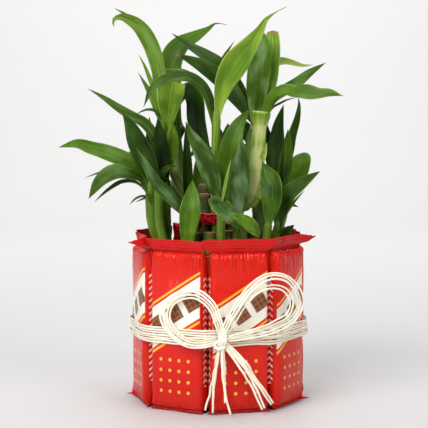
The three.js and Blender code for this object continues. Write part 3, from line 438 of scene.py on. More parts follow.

# Each cane: ring, turn, top, tone; shoots as (tone, points, radii, brown share of the length if it
# isn't the usual one); and leaves as (tone, width, face, points, shape, painted sheen, wave, brown
# tip), where a leaf that leaves out its last values has those of plainLeaf.
canes = {
    "innerMiddle": (0, 0, 164, 0.42, [
        (0.4, [(0, 0, 150), (-3, 2, 158), (-6, 4, 168)], (2.6, 2.4)),
        (0.4, [(0, 1, 150), (4, 5, 157), (5, 8, 166)], (2.6, 2.4))], [
        (0.1, 13, (0, -1, 0.2), [(-5, 3, 164), (-7.5, 4, 170), (-10.5, 6, 178), (-15, 8, 191.5),
         (-16, 9, 205), (-20, 11, 213), (-26, 13, 209), (-31, 14, 194)], "lance", 0, 0.3, 0.2),
        (0.25, 10, (0, -1, 0.4), [(5, 7, 163), (6, 9, 172), (7, 11, 182), (7, 14, 190)])]),
    "innerFront": (10.6, 0, 142, 0.38, [
        (0.68, [(0, -10, 132), (-1, -14, 138), (-1.5, -17, 150), (-1.5, -17, 175), (-1, -17, 200)],
         (3, 3.1, 2.8, 2.7))], [
        (0.7, 18, (0.2, -1, 0.2), [(-1, -17, 190), (1, -19, 205), (5, -22, 219), (13, -26, 232.5),
         (21, -30, 242.5), (27.5, -34, 251.5), (31, -36, 257.5), (37.5, -40, 262.5), (45, -44, 266)],
         "drawn", 0, 0.9),
        (0.34, 9, (0.2, -1, 0.6), [(-2, -17, 184), (-4.5, -18, 199), (-7.5, -20, 209), (-13, -23, 216.5),
         (-20, -25, 220.5), (-29, -27, 220.5), (-37.5, -28, 218), (-44, -28, 213), (-49.5, -28, 201)],
         "lance", 0.2, 0.5, 0.3),
        (0.45, 4, (0, -1, 0), [(-1, -16, 192), (1, -15, 210), (3, -14, 232), (11, -13.5, 245.5)]),
        (0.52, 5, (0, -0.6, 1), [(-2, -16, 184), (-7, -16, 205), (-19, -20, 223), (-32, -24, 226),
         (-43, -24, 222)], "lance", 1.0)]),
    "innerFrontRight": (10.6, 60, 140, 0.4, [
        (0.96, [(9, -5, 134), (15, -8, 133), (20.5, -10, 137), (25.2, -9.5, 152), (26.6, -9, 166),
         (28, -8.5, 184), (29.5, -8, 198)], (3, 4.2, 4.6, 4.4, 4.3, 4.6), 0.14)], [
        (0.46, 15.5, (0, -1, 0), [(27.5, -6, 190), (26.5, -3, 205), (27.5, -4, 222), (28.5, -5, 238),
         (29.5, -3, 253)], "strap", 0.9),
        (0.66, 12, (-0.1, -1, 0), [(31, -5, 190), (34.5, -1, 215), (37, 5, 236), (38, 12, 254)], "blunt",
         0, 0.2, 1),
        (0.5, 12.5, (0, -0.9, 0.8), [(30, -10, 190), (36, -14, 206), (44, -18, 210.5), (51, -22, 210),
         (57.5, -26, 210.3), (65, -29, 209.6), (73.5, -32, 209.5), (82.5, -35, 208.3)], "spoon", 0, 2.0),
        (0.27, 12, (0.3, -1, 0.6), [(27, -6, 190), (22, -1, 200), (15, 2, 211), (7, 3, 222), (0, 3, 230),
         (-9, 5, 236), (-19, 8, 242.5), (-32, 12, 252)], "lance", 0.1),
        (0.24, 14, (0.3, -1, 0.6), [(26, -7, 187), (20, -5, 196), (12, -5, 207), (4, -6, 217),
         (-3, -6, 223), (-12, -6, 229), (-21, -6, 233.5), (-29, -6, 237)], "lance", 0.1, 0.3, 1),
        (0.42, 9, (-0.3, -1, 0.5), [(31, -6, 192), (38, -2, 206), (47.5, 2, 213), (54, 5, 217),
         (63.5, 9, 224.5), (75, 13, 232)], "lance", 0.2),
        (0.4, 4, (0, -0.3, 1), [(30, -5, 190), (37, 1, 200), (43, 2, 203.5), (48.5, 3, 206.2),
         (54.7, 3, 207.6)]),
        (0.85, 4.6, (0.3, -1, 0), [(28, -12.6, 160), (30.5, -12.4, 168), (33.2, -12, 177)], "sheath", 0,
         0),
        (0.85, 4.2, (0.3, -1, 0), [(26.5, -13, 140), (29.5, -13, 148), (33, -12.6, 157)], "sheath", 0, 0),
        (0.8, 4, (0.2, -1, 0), [(23.5, -13, 134), (27.5, -13, 139), (31, -13, 143)], "sheath", 0, 0,
         0.6)]),
    "innerBackRight": (10.6, 120, 146, 0.45, [
        (0.5, [(9, 5, 134), (15, 10, 140), (20, 14, 160), (23, 15, 186)], (2.8, 2.8, 2.2))], [
        (0.86, 9, (0, -1, 0.8), [(23, 15, 180), (28, 15, 205), (33, 15, 222), (37, 15, 230),
         (44, 15, 232.5), (52.5, 20, 231.5), (60, 23, 230), (67, 26, 231)], "lance", 1.0, 0.9),
        (0.3, 12, (-0.4, -0.4, 1), [(21, 15, 165), (26, 24, 180), (31, 33, 186), (37, 44, 183)], "lance",
         0, 0.4),
        (0.25, 11, (-0.6, -1, 0.4), [(22, 16, 176), (19, 22, 186), (14, 26, 192)])]),
    "innerBack": (10.6, 180, 150, 0.4, [
        (0.45, [(0, 10, 134), (0, 16, 140), (-1, 20, 150), (-1, 22, 168)], (2.8, 2.8, 2.3))], [
        (0.3, 13, (0.3, -0.4, 1), [(-1, 21, 156), (-5, 28, 168), (-12, 37, 171), (-20, 47, 165)], "lance",
         0, 0.4),
        (0.36, 13, (-0.3, -0.4, 1), [(0, 22, 158), (8, 30, 171), (16, 38, 174), (25, 47, 167)], "lance",
         0.2, 0.4),
        (0.25, 9, (0, -1, 0.4), [(-1, 22, 162), (1, 25, 176), (2, 29, 186)])]),
    # Its tone is darkened to paint the shade this cane stands in.
    "innerBackLeft": (10.6, 240, 148, 0.12, [
        (0.5, [(-9, 5, 134), (-16, 10, 140), (-24, 14, 155), (-27.5, 16, 175), (-29, 16, 194)],
         (2.8, 2.8, 2.4, 2))], [
        (0.42, 15.5, (0, -1, 0.3), [(-29, 16, 188), (-31.5, 21, 212), (-32.5, 25, 233), (-26, 27, 244),
         (-15, 29, 251), (-7, 31, 256), (-1.5, 32, 260), (7, 32, 259)], "arch", 0, 0.9),
        (0.3, 12, (0.5, -0.4, 1), [(-26, 15, 164), (-32, 23, 178), (-39, 32, 183), (-48, 42, 178)],
         "lance", 0, 0.4),
        (0.3, 10, (0.4, -1, 0.4), [(-28, 16, 176), (-28, 22, 188), (-26, 30, 192)])]),
    # Its tone is darkened to paint the shade this cane stands in.
    "innerFrontLeft": (10.6, 300, 142, 0.1, [
        (0.72, [(-9, -5, 134), (-17, -2, 137), (-26, 1, 146), (-31.5, 1, 160), (-33.5, 0, 174),
         (-34, 0, 186)], (2.6, 2.7, 3.1, 3.3, 3.2), 0.56)], [
        (0.64, 11, (-0.3, -1, 0.2), [(-34, 3, 180), (-36, 1, 197), (-38.5, -3, 211.5), (-40.5, -7, 227),
         (-45, -12, 243), (-52, -17, 254), (-60.5, -21, 259.6), (-66.5, -24, 260.2), (-69.5, -25, 257.8),
         (-69, -25.5, 254)], "late", 0.7, 1.3),
        (0.66, 2.2, (0.4, -1, 0.2), [(-54, -19, 257.5), (-60, -21, 261.5), (-68.8, -25, 266.4)], "broad",
         0, 0, 0.5),
        (0.66, 7, (-0.8, -0.4, 0.5), [(-34, 2, 182), (-39, -1, 202), (-44, -3, 216), (-49, -4, 228),
         (-54, -5, 237)]),
        (0.62, 6, (-0.7, -0.5, 0.5), [(-34, 4, 180), (-41, 6, 198), (-47, 7, 212), (-55, 7, 225)]),
        (0.7, 19, (0.2, -1, 0.1), [(-34, 0, 176), (-34.5, -3, 188), (-33.5, -4, 203), (-31.5, -5, 219)],
         "fan", 0, 0.7),
        (0.56, 8, (0.1, -1, 0), [(-32.5, -3, 162), (-31, -5, 174), (-31, -6, 184), (-32, -6, 192)],
         "sheath"),
        (0.5, 6.5, (-0.5, -1, 0.3), [(-33, -3, 162), (-37.5, -5, 172), (-42, -6, 180), (-46, -7, 188)],
         "sheath", 0, 0.4),
        (0.4, 6, (-0.1, -0.3, 1), [(-34, 3, 184), (-40, 4, 196), (-48, 5, 199), (-57, 5, 196)])]),
    "outer1": (22, 15, 118, 0.42, [
        (0.66, [(5, -22, 98), (3, -27, 104), (2, -29, 114), (2, -29, 126), (2, -29, 138)],
         (2.8, 2.7, 2.5))], [
        (0.36, 13.5, (0.3, -1, 0.2), [(1.5, -29, 133), (-1, -30, 142), (-5, -32, 155), (-11, -33, 170.5),
         (-17.5, -33, 182), (-21.5, -32, 191.5)], "lance", 0.9, 0.5),
        (0.44, 15.5, (-0.1, -1, 0.1), [(2.5, -29, 132), (4.5, -27, 147), (7, -25, 162), (9.5, -24, 178),
         (13.5, -22, 189), (21.5, -20, 200)], "lance", 0.1, 0.4),
        (0.36, 14.5, (0.2, -0.8, 0.7), [(1.5, -30, 132), (-0.5, -35, 137.5), (3, -40, 133), (8, -43, 128),
         (14, -45, 123.5), (19, -45, 119.5)], "broad", 0.8, 0.5),
        (0.54, 9, (-0.3, -0.8, 0.3), [(10, -44, 129.5), (16, -45.5, 127.5), (22, -45.5, 123),
         (27.5, -43, 115)], "lance", 0, 2),
        (0.8, 2.6, (-0.6, -0.8, 0), [(2, -30, 133), (3.5, -32, 142), (6, -33, 155), (8.5, -33, 166)])]),
    "outer2": (22, 45, 119, 0.46, [
        (0.5, [(15, -16, 92), (14, -21, 98), (12.5, -25, 110), (12, -27, 124)], (2.6, 2.6, 2.2)),
        (0.5, [(16, -16, 86), (23, -20, 89), (29, -24, 99), (32, -26, 110), (34, -27, 126)],
         (2.8, 2.7, 2.5))], [
        (0.28, 14, (0.1, -1, 0.1), [(12, -27, 118), (12.5, -28.5, 131), (13.5, -30, 142),
         (14.5, -31, 155), (15.3, -32, 168), (15.8, -32, 181)], "lance", 1.0, 0.4),
        (0.36, 16.5, (-0.4, -1, 0.25), [(33.8, -27.5, 119), (34.6, -29.5, 128), (36.2, -30.5, 138),
         (36.2, -28.5, 149), (33, -24, 157), (29.8, -21, 164.5)], "paddle", 0.1, 1.0),
        (0.16, 10, (0.2, -1, 0), [(32, -24, 110), (31, -17, 118), (30, -14, 130), (32, -13, 143)])]),
    "outer3": (22, 75, 120, 0.38, [
        (0.45, [(21, -6, 84), (29, -9, 87), (34, -12, 98), (38, -14, 109), (41, -17, 124)],
         (2.8, 2.8, 2.5))], [
        (0.3, 13, (-0.3, -1, 0.6), [(41, -17, 116), (42, -19, 130), (46, -21, 140), (54, -21, 147.5),
         (62, -20, 153.5), (69, -19, 158)], "lance", 0.1, 1.1),
        (0.6, 6, (-0.3, -0.2, 1), [(41, -16, 120), (46.5, -12, 128), (52, -11, 136), (59, -10, 144.5)]),
        (0.2, 8, (-0.4, -1, 0.3), [(38, -14, 106), (42, -13, 111), (46.5, -12, 116), (52, -11, 121)])]),
    "outer4": (22, 105, 116, 0.4, [
        (0.5, [(21, 6, 84), (29, 11, 88), (35, 14, 99), (41, 17, 111), (46, 19, 126), (47, 19, 144)],
         (2.9, 2.9, 2.6))], [
        (0.44, 8.5, (-0.6, -0.8, 0), [(47, 20, 138), (48.5, 20, 160), (51, 20, 171), (53, 20, 182),
         (56, 20, 193), (57, 19, 203), (56, 18, 208.5)]),
        (0.16, 12, (-0.2, -1, 0), [(45.5, 18, 134), (42, 14, 148), (41, 12, 160), (41, 11, 174),
         (42, 10, 188), (45.5, 10, 203)], "lance", 0.1),
        (0.1, 9, (-0.3, -1, 0), [(46, 19, 138), (40, 19, 155), (37, 19, 172), (34, 19, 190)]),
        (0.4, 10.5, (0.1, -1, 0), [(45.5, 18, 136), (45.5, 14, 150), (46.8, 12, 162), (48, 11, 173),
         (48.6, 10, 186)]),
        (0.58, 18, (-0.3, -0.7, 0.8), [(47, 20, 134), (53, 24, 144), (57, 28, 154), (59.5, 32, 162),
         (62, 38, 169)], "round")]),
    "outer5": (22, 135, 118, 0.44, [
        (0.5, [(16, 16, 86), (20, 21, 90), (24, 27, 102), (27, 31, 118), (27, 32, 134)],
         (2.8, 2.7, 2.4))], [
        (0.36, 13, (-0.5, -0.3, 1), [(27, 32, 126), (35, 38, 142), (45, 45, 150), (57, 53, 148)], "lance",
         0.2, 0.4),
        (0.3, 13, (-0.3, -0.6, 0.8), [(27, 32, 128), (31, 41, 144), (36, 52, 153), (42, 64, 151)],
         "lance", 0, 0.4),
        (0.44, 12, (0, 1, 0.4), [(27, 32, 128), (26, 38, 146), (27, 43, 160), (29, 45, 174)], "lance", 0,
         0.4),
        (0.26, 10, (-0.8, 0.2, 0.6), [(26, 31, 120), (36, 32, 128), (47, 33, 132), (58, 34, 130)],
         "lance", 0, 0.4)]),
    "outer6": (22, 165, 117, 0.36, [
        (0.46, [(6, 22, 86), (7, 28, 90), (9, 34, 102), (10, 38, 120), (9, 39, 138)], (2.8, 2.7, 2.4))], [
        (0.34, 13, (0.2, -0.5, 1), [(9, 39, 130), (6, 48, 146), (3, 59, 151), (1, 71, 145)], "lance", 0,
         0.4),
        (0.46, 12, (0, 1, 0.3), [(9, 39, 132), (12, 45, 148), (14, 48, 162), (15, 49, 176)], "lance", 0,
         0.4),
        (0.28, 12, (-0.4, -0.5, 1), [(9.5, 39, 126), (16, 49, 138), (22, 60, 141), (28, 72, 134)],
         "lance", 0.2, 0.4)]),
    "outer7": (22, 195, 120, 0.42, [
        (0.5, [(-6, 22, 86), (-8, 28, 90), (-9, 34, 102), (-10, 38, 120), (-10, 38, 136)],
         (2.8, 2.7, 2.4))], [
        (0.3, 13, (0.5, -0.5, 1), [(-10, 38, 128), (-16, 47, 144), (-22, 58, 149), (-29, 70, 143)],
         "lance", 0, 0.4),
        (0.4, 12, (0, 1, 0.3), [(-10, 38, 130), (-12, 45, 146), (-12, 49, 160), (-11, 50, 174)], "lance",
         0, 0.4),
        (0.5, 11, (0.2, -0.6, 1), [(-10, 38, 124), (-10, 48, 133), (-10, 59, 134), (-10, 70, 127)],
         "lance", 0, 0.4)]),
    "outer8": (22, 225, 117, 0.38, [
        (0.48, [(-16, 16, 86), (-20, 22, 90), (-22, 28, 102), (-23, 32, 118), (-23, 33, 134)],
         (2.8, 2.7, 2.4))], [
        (0.34, 13, (0.5, -0.4, 1), [(-23, 33, 126), (-33, 40, 142), (-44, 47, 149), (-56, 54, 146)],
         "lance", 0.2, 0.4),
        (0.4, 13, (0.4, 1, 0.4), [(-23, 33, 128), (-27, 39, 146), (-31, 43, 160), (-34, 44, 172)],
         "lance", 0, 0.4),
        (0.26, 11, (0.3, -0.5, 1), [(-23, 33, 122), (-32, 44, 130), (-38, 55, 131), (-45, 66, 124)],
         "lance", 0, 0.4),
        (0.46, 10, (0.7, 0.2, 0.7), [(-23, 32, 122), (-35, 29, 132), (-47, 27, 137), (-59, 26, 134)],
         "lance", 0, 0.4)]),
    "outer9": (22, 255, 118, 0.34, [
        (0.56, [(-21, 6, 84), (-28, 3, 87), (-33, -1, 98), (-35, -3, 109), (-35.5, -4, 126),
         (-35, -4, 152)], (3.1, 3.1, 3.0, 2.8))], [
        (0.34, 9, (0.2, -1, 0), [(-36, -4, 146), (-42, -3, 156), (-45.5, -2, 170), (-46.5, -2, 182),
         (-47, -2, 194.5)]),
        (0.06, 11, (0.1, -1, 0), [(-35, -5, 148), (-37, -7, 160), (-38.5, -8, 172), (-41, -8, 194)]),
        (0.36, 8, (0.2, -0.6, 1), [(-35.5, -5, 142), (-38, -8, 150), (-37, -11, 156), (-33, -12, 160),
         (-28, -12, 161)]),
        (0.4, 7.5, (-0.3, -1, 0.5), [(-36, -5, 148), (-39, -6, 168), (-43, -7, 181), (-50, -8, 190),
         (-58, -9, 194.5), (-67, -10, 200), (-77, -11, 207), (-88, -12, 213.5)], "lance", 0.3, 0.5)]),
    "outer10": (22, 285, 119, 0.38, [
        (0.62, [(-21, -6, 82), (-29, -8, 85), (-35, -9, 97), (-39, -9, 107), (-44, -10, 119),
         (-46, -10, 134), (-46, -10, 151)], (3.3, 3.4, 3.3, 3.0))], [
        (0.52, 13, (0.1, -0.8, 0.6), [(-46, -10, 144), (-48.5, -11, 155), (-54, -12, 160.5),
         (-63, -14, 164.8), (-75, -15, 169.5), (-86, -16, 173), (-95, -17, 176), (-107.5, -17, 174)],
         "lance", 0.3, 0.5),
        (0.38, 14, (0.2, -0.7, 0.8), [(-46, -11, 141), (-52, -14, 151.5), (-60, -19, 156),
         (-70, -24, 156.5), (-78.5, -27, 151.5), (-86.5, -28, 140)], "lance", 0.3),
        (0.35, 8, (0.1, -0.3, 1), [(-46, -11, 132), (-49, -16, 144), (-55.5, -20, 150),
         (-63.5, -23, 150.5), (-73, -25, 145.5), (-83, -26, 137.5)]),
        (0.4, 9, (0.3, -0.4, 1), [(-46, -9, 142), (-54, -1, 152), (-66, 6, 157), (-79, 12, 156),
         (-94, 17, 151.5)]),
        (0.4, 4, (0.2, -0.3, 1), [(-46, -9, 136), (-51, -6, 140), (-56, -4, 138.5), (-61, -3, 134)]),
        (0.28, 9, (0.4, -1, 0.3), [(-46, -9, 144), (-50, -7, 154), (-55, -6, 163), (-61, -5, 171)])]),
    "outer11": (22, 315, 116, 0.36, [
        (0.42, [(-16, -16, 88), (-18, -22, 94), (-20, -26, 104), (-20, -28, 116), (-19.5, -28, 128)],
         (3, 3.2, 3)),
        (0.58, [(-16, -16, 82), (-25, -18, 86), (-32, -18, 97), (-36, -17, 107), (-39.5, -15, 122),
         (-41, -14, 151)], (3.1, 3.1, 2.8))], [
        (0.55, 14, (0.1, -1, 0.1), [(-20.5, -31, 106), (-20, -32, 118), (-18.9, -32, 132),
         (-17.7, -29, 142), (-17, -25, 152.5)], "blade", 0, 0.9),
        (0.32, 8.5, (0.2, -1, 0.2), [(-20, -27, 120), (-25, -30, 133), (-33, -32, 142), (-42, -34, 152),
         (-48.5, -35, 163.5), (-54.5, -35, 174.5)], "lance", 0.6),
        (0.1, 8, (0.7, -1, 0), [(-19.5, -27, 122), (-21, -21, 138), (-21, -19, 158), (-21.5, -18, 175),
         (-21.5, -18, 191)], "lance", 0, 0.2),
        (0.2, 14.5, (-0.2, -1, 0.1), [(-41, -14, 146), (-44, -17, 156), (-48.5, -20, 166),
         (-54, -23, 178), (-59.5, -23, 190), (-64, -22, 197)], "lance", 0, 0.5)]),
    "outer12": (22, 345, 117, 0.5, [], []),
}


def leafWidth(along, shape):
    widest, base, fall, power = leafShapes[shape]
    rise = base + (1 - base) * np.sin(climb(along, 0, widest) * np.pi / 2) ** 1.8
    return np.where(along < widest, rise, (1 - climb(along, widest, 1) ** fall) ** power)


# A closed blade: folded along its midrib, clasping at its base, thin at its wavy margins.
def layLeaf(bm, leaf, seed):
    tone, width, face, points, shape, paintedSheen, wave, brown = (*leaf, *plainLeaf[len(leaf) - 4:])
    rows, half = leafForm["rows"], leafForm["halfColumns"]
    centres, length = smoothPath(points, rows)
    along = np.linspace(0, 1, rows)
    across, normal = pathFrames(centres, face)
    across, normal = twistFrames(across, normal, leafForm["twist"] * wander(along, 1.6, seed))
    reach = np.maximum(width / 2 * leafWidth(along, shape), leafForm["leastHalf"] - 0.35 * along ** 12)
    reach *= 1 + leafForm["uneven"] * wander(along, 5, seed + 40)
    side = np.linspace(-1, 1, 2 * half + 1)
    fold = leafForm["fold"] + leafForm["clasp"] * climb(along, leafForm["claspTo"], 0) ** 1.5
    pace = length / leafForm["ripplePitch"]
    left, right = (wave * leafForm["ripple"] * wander(along, pace, seed + 90 + s)[:, None] for s in (0, 5))
    lift = np.abs(side) ** 1.25 * fold[:, None] + side ** 2 * np.where(side < 0, left, right)
    middle = besidePath(centres, across, normal, side * reach[:, None], lift * reach[:, None])
    thick = leafForm["thick"] * (1 - np.abs(side) ** 4) + leafForm["rib"] * hump(side, 0.09)
    thin = np.clip(reach / (width / 2), 0.15, 1)
    skin = normal[:, None] * (0.5 * thick * thin[:, None])[..., None]
    upper, under = middle + leafForm["upper"] * skin, middle - leafForm["under"] * skin
    for column in (0, -1):
        under[:, column] = upper[:, column] = middle[:, column]
    place = drawIn(np.concatenate([upper, under[:, ::-1][:, 1:]], 1), centres)
    shareAcross = (np.concatenate([side, side[::-1][1:]]) + 1) / 2
    shareAlong = withEnds(along)
    young = leafForm["youngTip"] * climb(shareAlong, 0.55, 1.05)
    young = young + leafForm["youngFoot"] * climb(shareAlong, 0.2, 0)
    slots = np.where(np.arange(place.shape[1]) < 2 * half, leafTopSlot, leafUnderSlot)
    # The look's pale part carries the leaf's painted sheen.
    layGrid(bm, place, rowLook(tone + young, paintedSheen, brown, seed * 0.173), shareAcross, shareAlong, slots)


# A shoot: overlapping sheaths give it a step and a pale line every few millimetres.
def layShoot(bm, shoot, seed):
    tone, points, radii, brownTo = (*shoot, shootForm["brownTo"])[:4]
    count = max(shootForm["fewestRows"], int(smoothPath(points, 4)[1] * shootForm["rowsPerMm"]))
    centres, length = smoothPath(points, count)
    along = np.linspace(0, 1, count)
    at = along * length
    draw = random.Random(seed)
    gaps = [draw.uniform(*shootForm["sheathGaps"]) for _ in range(shootForm["sheaths"])]
    sheaths = [0, *np.cumsum(gaps)]
    step = np.array([min(here - sheath for sheath in sheaths if sheath <= here) for here in at])
    cut = tone > shootForm["cutTone"]
    top = np.clip((along - shootForm["topFrom"]) / (0.09 if cut else 0.13), 0, 1)
    node = hump((along - brownTo) * length, 1.1)
    radius = np.interp(along, np.linspace(0, 1, len(radii)), radii)
    radius = radius * (shootForm["fuller"] + shootForm["sheathSwell"] * hump(step - 0.9, 2.2))
    radius = radius * (1 + shootForm["cutSpread"] * top if cut else 1 - 0.5 * top ** 2)
    radius = radius * (1 + shootForm["nodeSwell"] * node)
    brown = shootForm["browner" if cut else "brown"] * climb(along, brownTo, brownTo - 0.08)
    shade = tone + 0.04 * np.sin(at / 9 + seed) - 0.03 * hump(step - 1.2, 1.0)
    if cut:
        shade += 0.08 * np.sin(at / 3.1) - 0.22 * top + 0.3 * hump(length - at, 1.3)
    else:
        shade -= shootForm["darkening"] * brown
    angle = np.linspace(0, 2 * np.pi, shootForm["sides"] + 1)
    across, normal = pathFrames(centres, (0, -1, 0.2))
    over, up = radius[:, None] * np.cos(angle), radius[:, None] * np.sin(angle)
    place = drawIn(besidePath(centres, across, normal, over, up), centres)
    line = shootForm["sheathLine"] * hump(step, 0.6)
    look = rowLook(shade, np.maximum(line, node), brown, seed * 0.211)
    layGrid(bm, place, withEnds(look), slots=stemSlot)


def layCane(bm, ring, turn, top, tone, seed):
    foot = cane["foot"]
    draw = random.Random(seed)
    nodes = [top - cane["nodeBelowTop"]]
    while nodes[-1] > foot + 20:
        nodes.append(nodes[-1] - draw.uniform(*cane["nodeGaps"]))
    heights = np.concatenate([[foot] * 2, np.arange(foot + 1, top - 1, cane["rise"]), [top - 0.9]])
    near = np.array([min(abs(height - node) for node in nodes) for height in heights])
    radius = cane["radius"] + cane["nodeSwell"] * hump(near, 1.1) - 0.05
    radius[0] = 0
    profile = [*zip(radius, heights), *[(reach, top + rise) for reach, rise in cane["rim"]]]
    row = np.arange(len(profile))
    line = np.concatenate([hump(near, 0.55), np.zeros(len(cane["rim"]))])
    brown = np.where(row < len(heights) - 2, 0, cane["cutBrown"])
    look = rowLook(tone, line, brown, seed * 0.137)
    slots = np.where(row > len(heights), cutSlot, barkSlot)[:, None]
    layTurned(bm, roundAxis(turn, ring), profile, look, cane["sides"], slots, cane["uneven"], seed)


for index, (name, (ring, turn, top, tone, shoots, leaves)) in enumerate(canes.items()):
    bm = newMesh()
    layCane(bm, ring, turn, top, tone, index)
    for order, shoot in enumerate(shoots):
        layShoot(bm, shoot, index * 5 + order)
    for order, leaf in enumerate(leaves):
        layLeaf(bm, leaf, index * 11 + order + 1)
    finishPiece(bm, "stalk_" + name, plantMaterials, ["cane_" + name])
print("canes, shoots and leaves made")

vase = {
    "radius": 46, "wall": 2.5, "floor": 5, "height": 104, "water": 70, "sides": 96,
    "clearGlass": {"tint": (0.93, 0.98, 0.96, 1), "bend": 1.48, "noise": (22.0, 3.0), "smear": 0.06,
                   "bump": (0.0006, 0.3)},
    "clearWater": {"tint": (0.90, 0.97, 0.94, 1), "bend": 1.33, "noise": (60.0, 1.0), "smear": 0.02,
                   "bump": (0.0004, 0.4)}}


def clearMaterial(name):
    finish = vase[name]
    material, tree, shader = newMaterial(name, {
        "Base Color": finish["tint"], "Transmission Weight": 1, "Metallic": 0, "IOR": finish["bend"]})
    uneven = objectNoise(tree, *finish["noise"])
    finishSurface(tree, shader, None, times(tree, uneven, finish["smear"]), uneven, *finish["bump"])
    return material


clearGlass, clearWater = clearMaterial("clearGlass"), clearMaterial("clearWater")
outer, inner = vase["radius"], vase["radius"] - vase["wall"]
base, rim = vase["floor"], vase["height"]
bm = newMesh()
layTurned(bm, (0, 0), [
    (0, 1.2), (34, 0.9), (39, 0), (outer - 2.4, 0), (outer - 0.9, 0.7), (outer, 2.6), (outer, 30),
    (outer, 60), (outer, rim - 1.6), (outer - 0.35, rim - 0.6), (outer - 1.2, rim),
    (inner + 0.5, rim - 0.3), (inner, rim - 1.3), (inner, 60), (inner, base + 4), (inner - 1.2, base + 1),
    (inner - 4, base), (0, base)], plainLook, vase["sides"])
finishPiece(bm, "glassVase", [clearGlass], ["vase"])
bm = newMesh()
edge, level = inner - 0.3, vase["water"]
layTurned(bm, (0, 0), [
    (0, base + 0.3), (edge - 3.6, base + 0.4), (edge - 1, base + 1.4), (edge, base + 4.2), (edge, 60),
    (edge, level), (edge - 0.5, level - 0.7), (edge - 2, level - 1.1), (0, level - 1.1)],
    plainLook, vase["sides"])
finishPiece(bm, "vaseWater", [clearWater], ["water"])
print("vase and water made")

ribbon = {
    "thick": 0.25, "innerZ": (121, 129), "outerZ": (72.5, 79), "rows": 9, "gap": 0.1, "sag": 0.35,
    "crinkle": 0.25, "curlZ": (115, 119.5), "foil": (0.36, 0.004, 0.012, 1), "edge": (0.72, 0.45, 0.12, 1),
    "metal": 0.85, "roughness": 0.16, "bump": 0.0012,
    "curls": [
        [(-13.5, -8.5, 0), (-20, -12.5, 0), (-26.5, -14, 0), (-30.5, -11.8, 0), (-30, -8.6, 0),
         (-26, -7.4, 0)],
        [(-11, -13.5, 0), (-13, -18, 0), (-17, -19.5, 0), (-18.5, -17, 0), (-16, -15, 0)]]}


def foilRibbonMaterial():
    material, tree, shader = newMaterial("foilRibbon", {"Metallic": ribbon["metal"]})
    crinkle = objectNoise(tree, 420.0, 2.0)
    edge = softStep(tree, offFrom(tree, readUv(tree)[1], 0.5), 0.43, 0.47)
    colour = mixColour(tree, edge, ribbon["foil"], ribbon["edge"])
    rough = plusShare(tree, ribbon["roughness"], crinkle, 0.2)
    finishSurface(tree, shader, colour, rough, crinkle, ribbon["bump"])
    return material


foilRibbon = foilRibbonMaterial()


# The way a taut ribbon takes round a ring of canes: the outside of their circles.
def roundCanes(ringRadius, firstTurn, count):
    places = [roundAxis(firstTurn + 360 / count * k, ringRadius) for k in range(count)]
    reach = cane["radius"] + cane["nodeSwell"] + ribbon["gap"]
    path = []
    for angle in np.linspace(0.5 * math.pi, 2.5 * math.pi, 145):
        way = (math.cos(angle), math.sin(angle))
        x, y = max(places, key=lambda p: p[0] * way[0] + p[1] * way[1])
        path.append((x + reach * way[0], y + reach * way[1]))
    return np.array(path)


# A flat ribbon along a path, standing on edge, from low to high.
def layRibbon(bm, path, low, high, seed, close=True):
    along = np.linspace(0, 1, len(path))
    ahead = unit(np.gradient(path, axis=0))
    out = np.stack([ahead[:, 1], -ahead[:, 0]], 1)
    sag = ribbon["sag"] * wander(along, 9, seed)
    up = np.linspace(0, 1, ribbon["rows"])
    rows = []
    for share in up:
        lift = ribbon["crinkle"] * noiseAt([(a * 30, share * 2, seed) for a in along])
        rows.append((np.maximum(lift, -0.1), low + (high - low) * share + sag))
    strips = [np.column_stack([path + out * (offset + lift)[:, None], height])
              for offset, face in ((ribbon["thick"], rows), (0.0, rows[::-1])) for lift, height in face]
    place = np.stack([*strips, strips[0]], 1)
    if close:
        place[-1] = place[0]
    else:  # each end narrows to a cut line
        last = len(strips) - 1
        place = meetPlies(place, [*range(last, -1, -1), last])
        along = withEnds(along)
    layGrid(bm, place.transpose(1, 0, 2), plainLook, along, np.concatenate([up, up[::-1], [0]]))


bm = newMesh()
layRibbon(bm, roundCanes(cane["innerRing"], 0, 6), *ribbon["innerZ"], 1)
for seed, curl in enumerate(ribbon["curls"], 3):
    low, high = ribbon["curlZ"]
    layRibbon(bm, smoothPath(curl, 40)[0][:, :2], low + seed, high + seed, seed, False)
finishPiece(bm, "innerRibbon", [foilRibbon], ["ribbon_inner"])
bm = newMesh()
layRibbon(bm, roundCanes(cane["outerRing"], 15, 12), *ribbon["outerZ"], 2)
finishPiece(bm, "outerRibbon", [foilRibbon], ["ribbon_outer"])
print("ribbons made")

bar = {
    "count": 8, "firstTurn": 15, "innerFace": 46.4, "thick": 11, "halfWidth": 19.4, "bodyFrom": 6,
    "bodyTo": 105, "sealAbove": 2.6, "tipAbove": 10, "seal": 0.4, "crimp": 1.9, "crimpDepth": 0.11,
    "faceColumns": 44, "edgeColumns": 4, "frontCorner": 3.2, "backCorner": 1.2, "pillow": 1.1,
    "zigzag": 0.35, "zigzagTall": 0.9, "footHalf": 21.5, "neckHalf": 22, "footOut": 2.4, "flareFrom": 12,
    "flareOver": 13, "looseHead": 1.4, "looseFoot": 1.3, "creaseHead": 0.7, "softDents": 0.55,
    "gatherHead": 1.21, "gatherFoot": 0.5}
over, under = 25, 19.8  # half widths of a seal above its neighbour's and of one below it
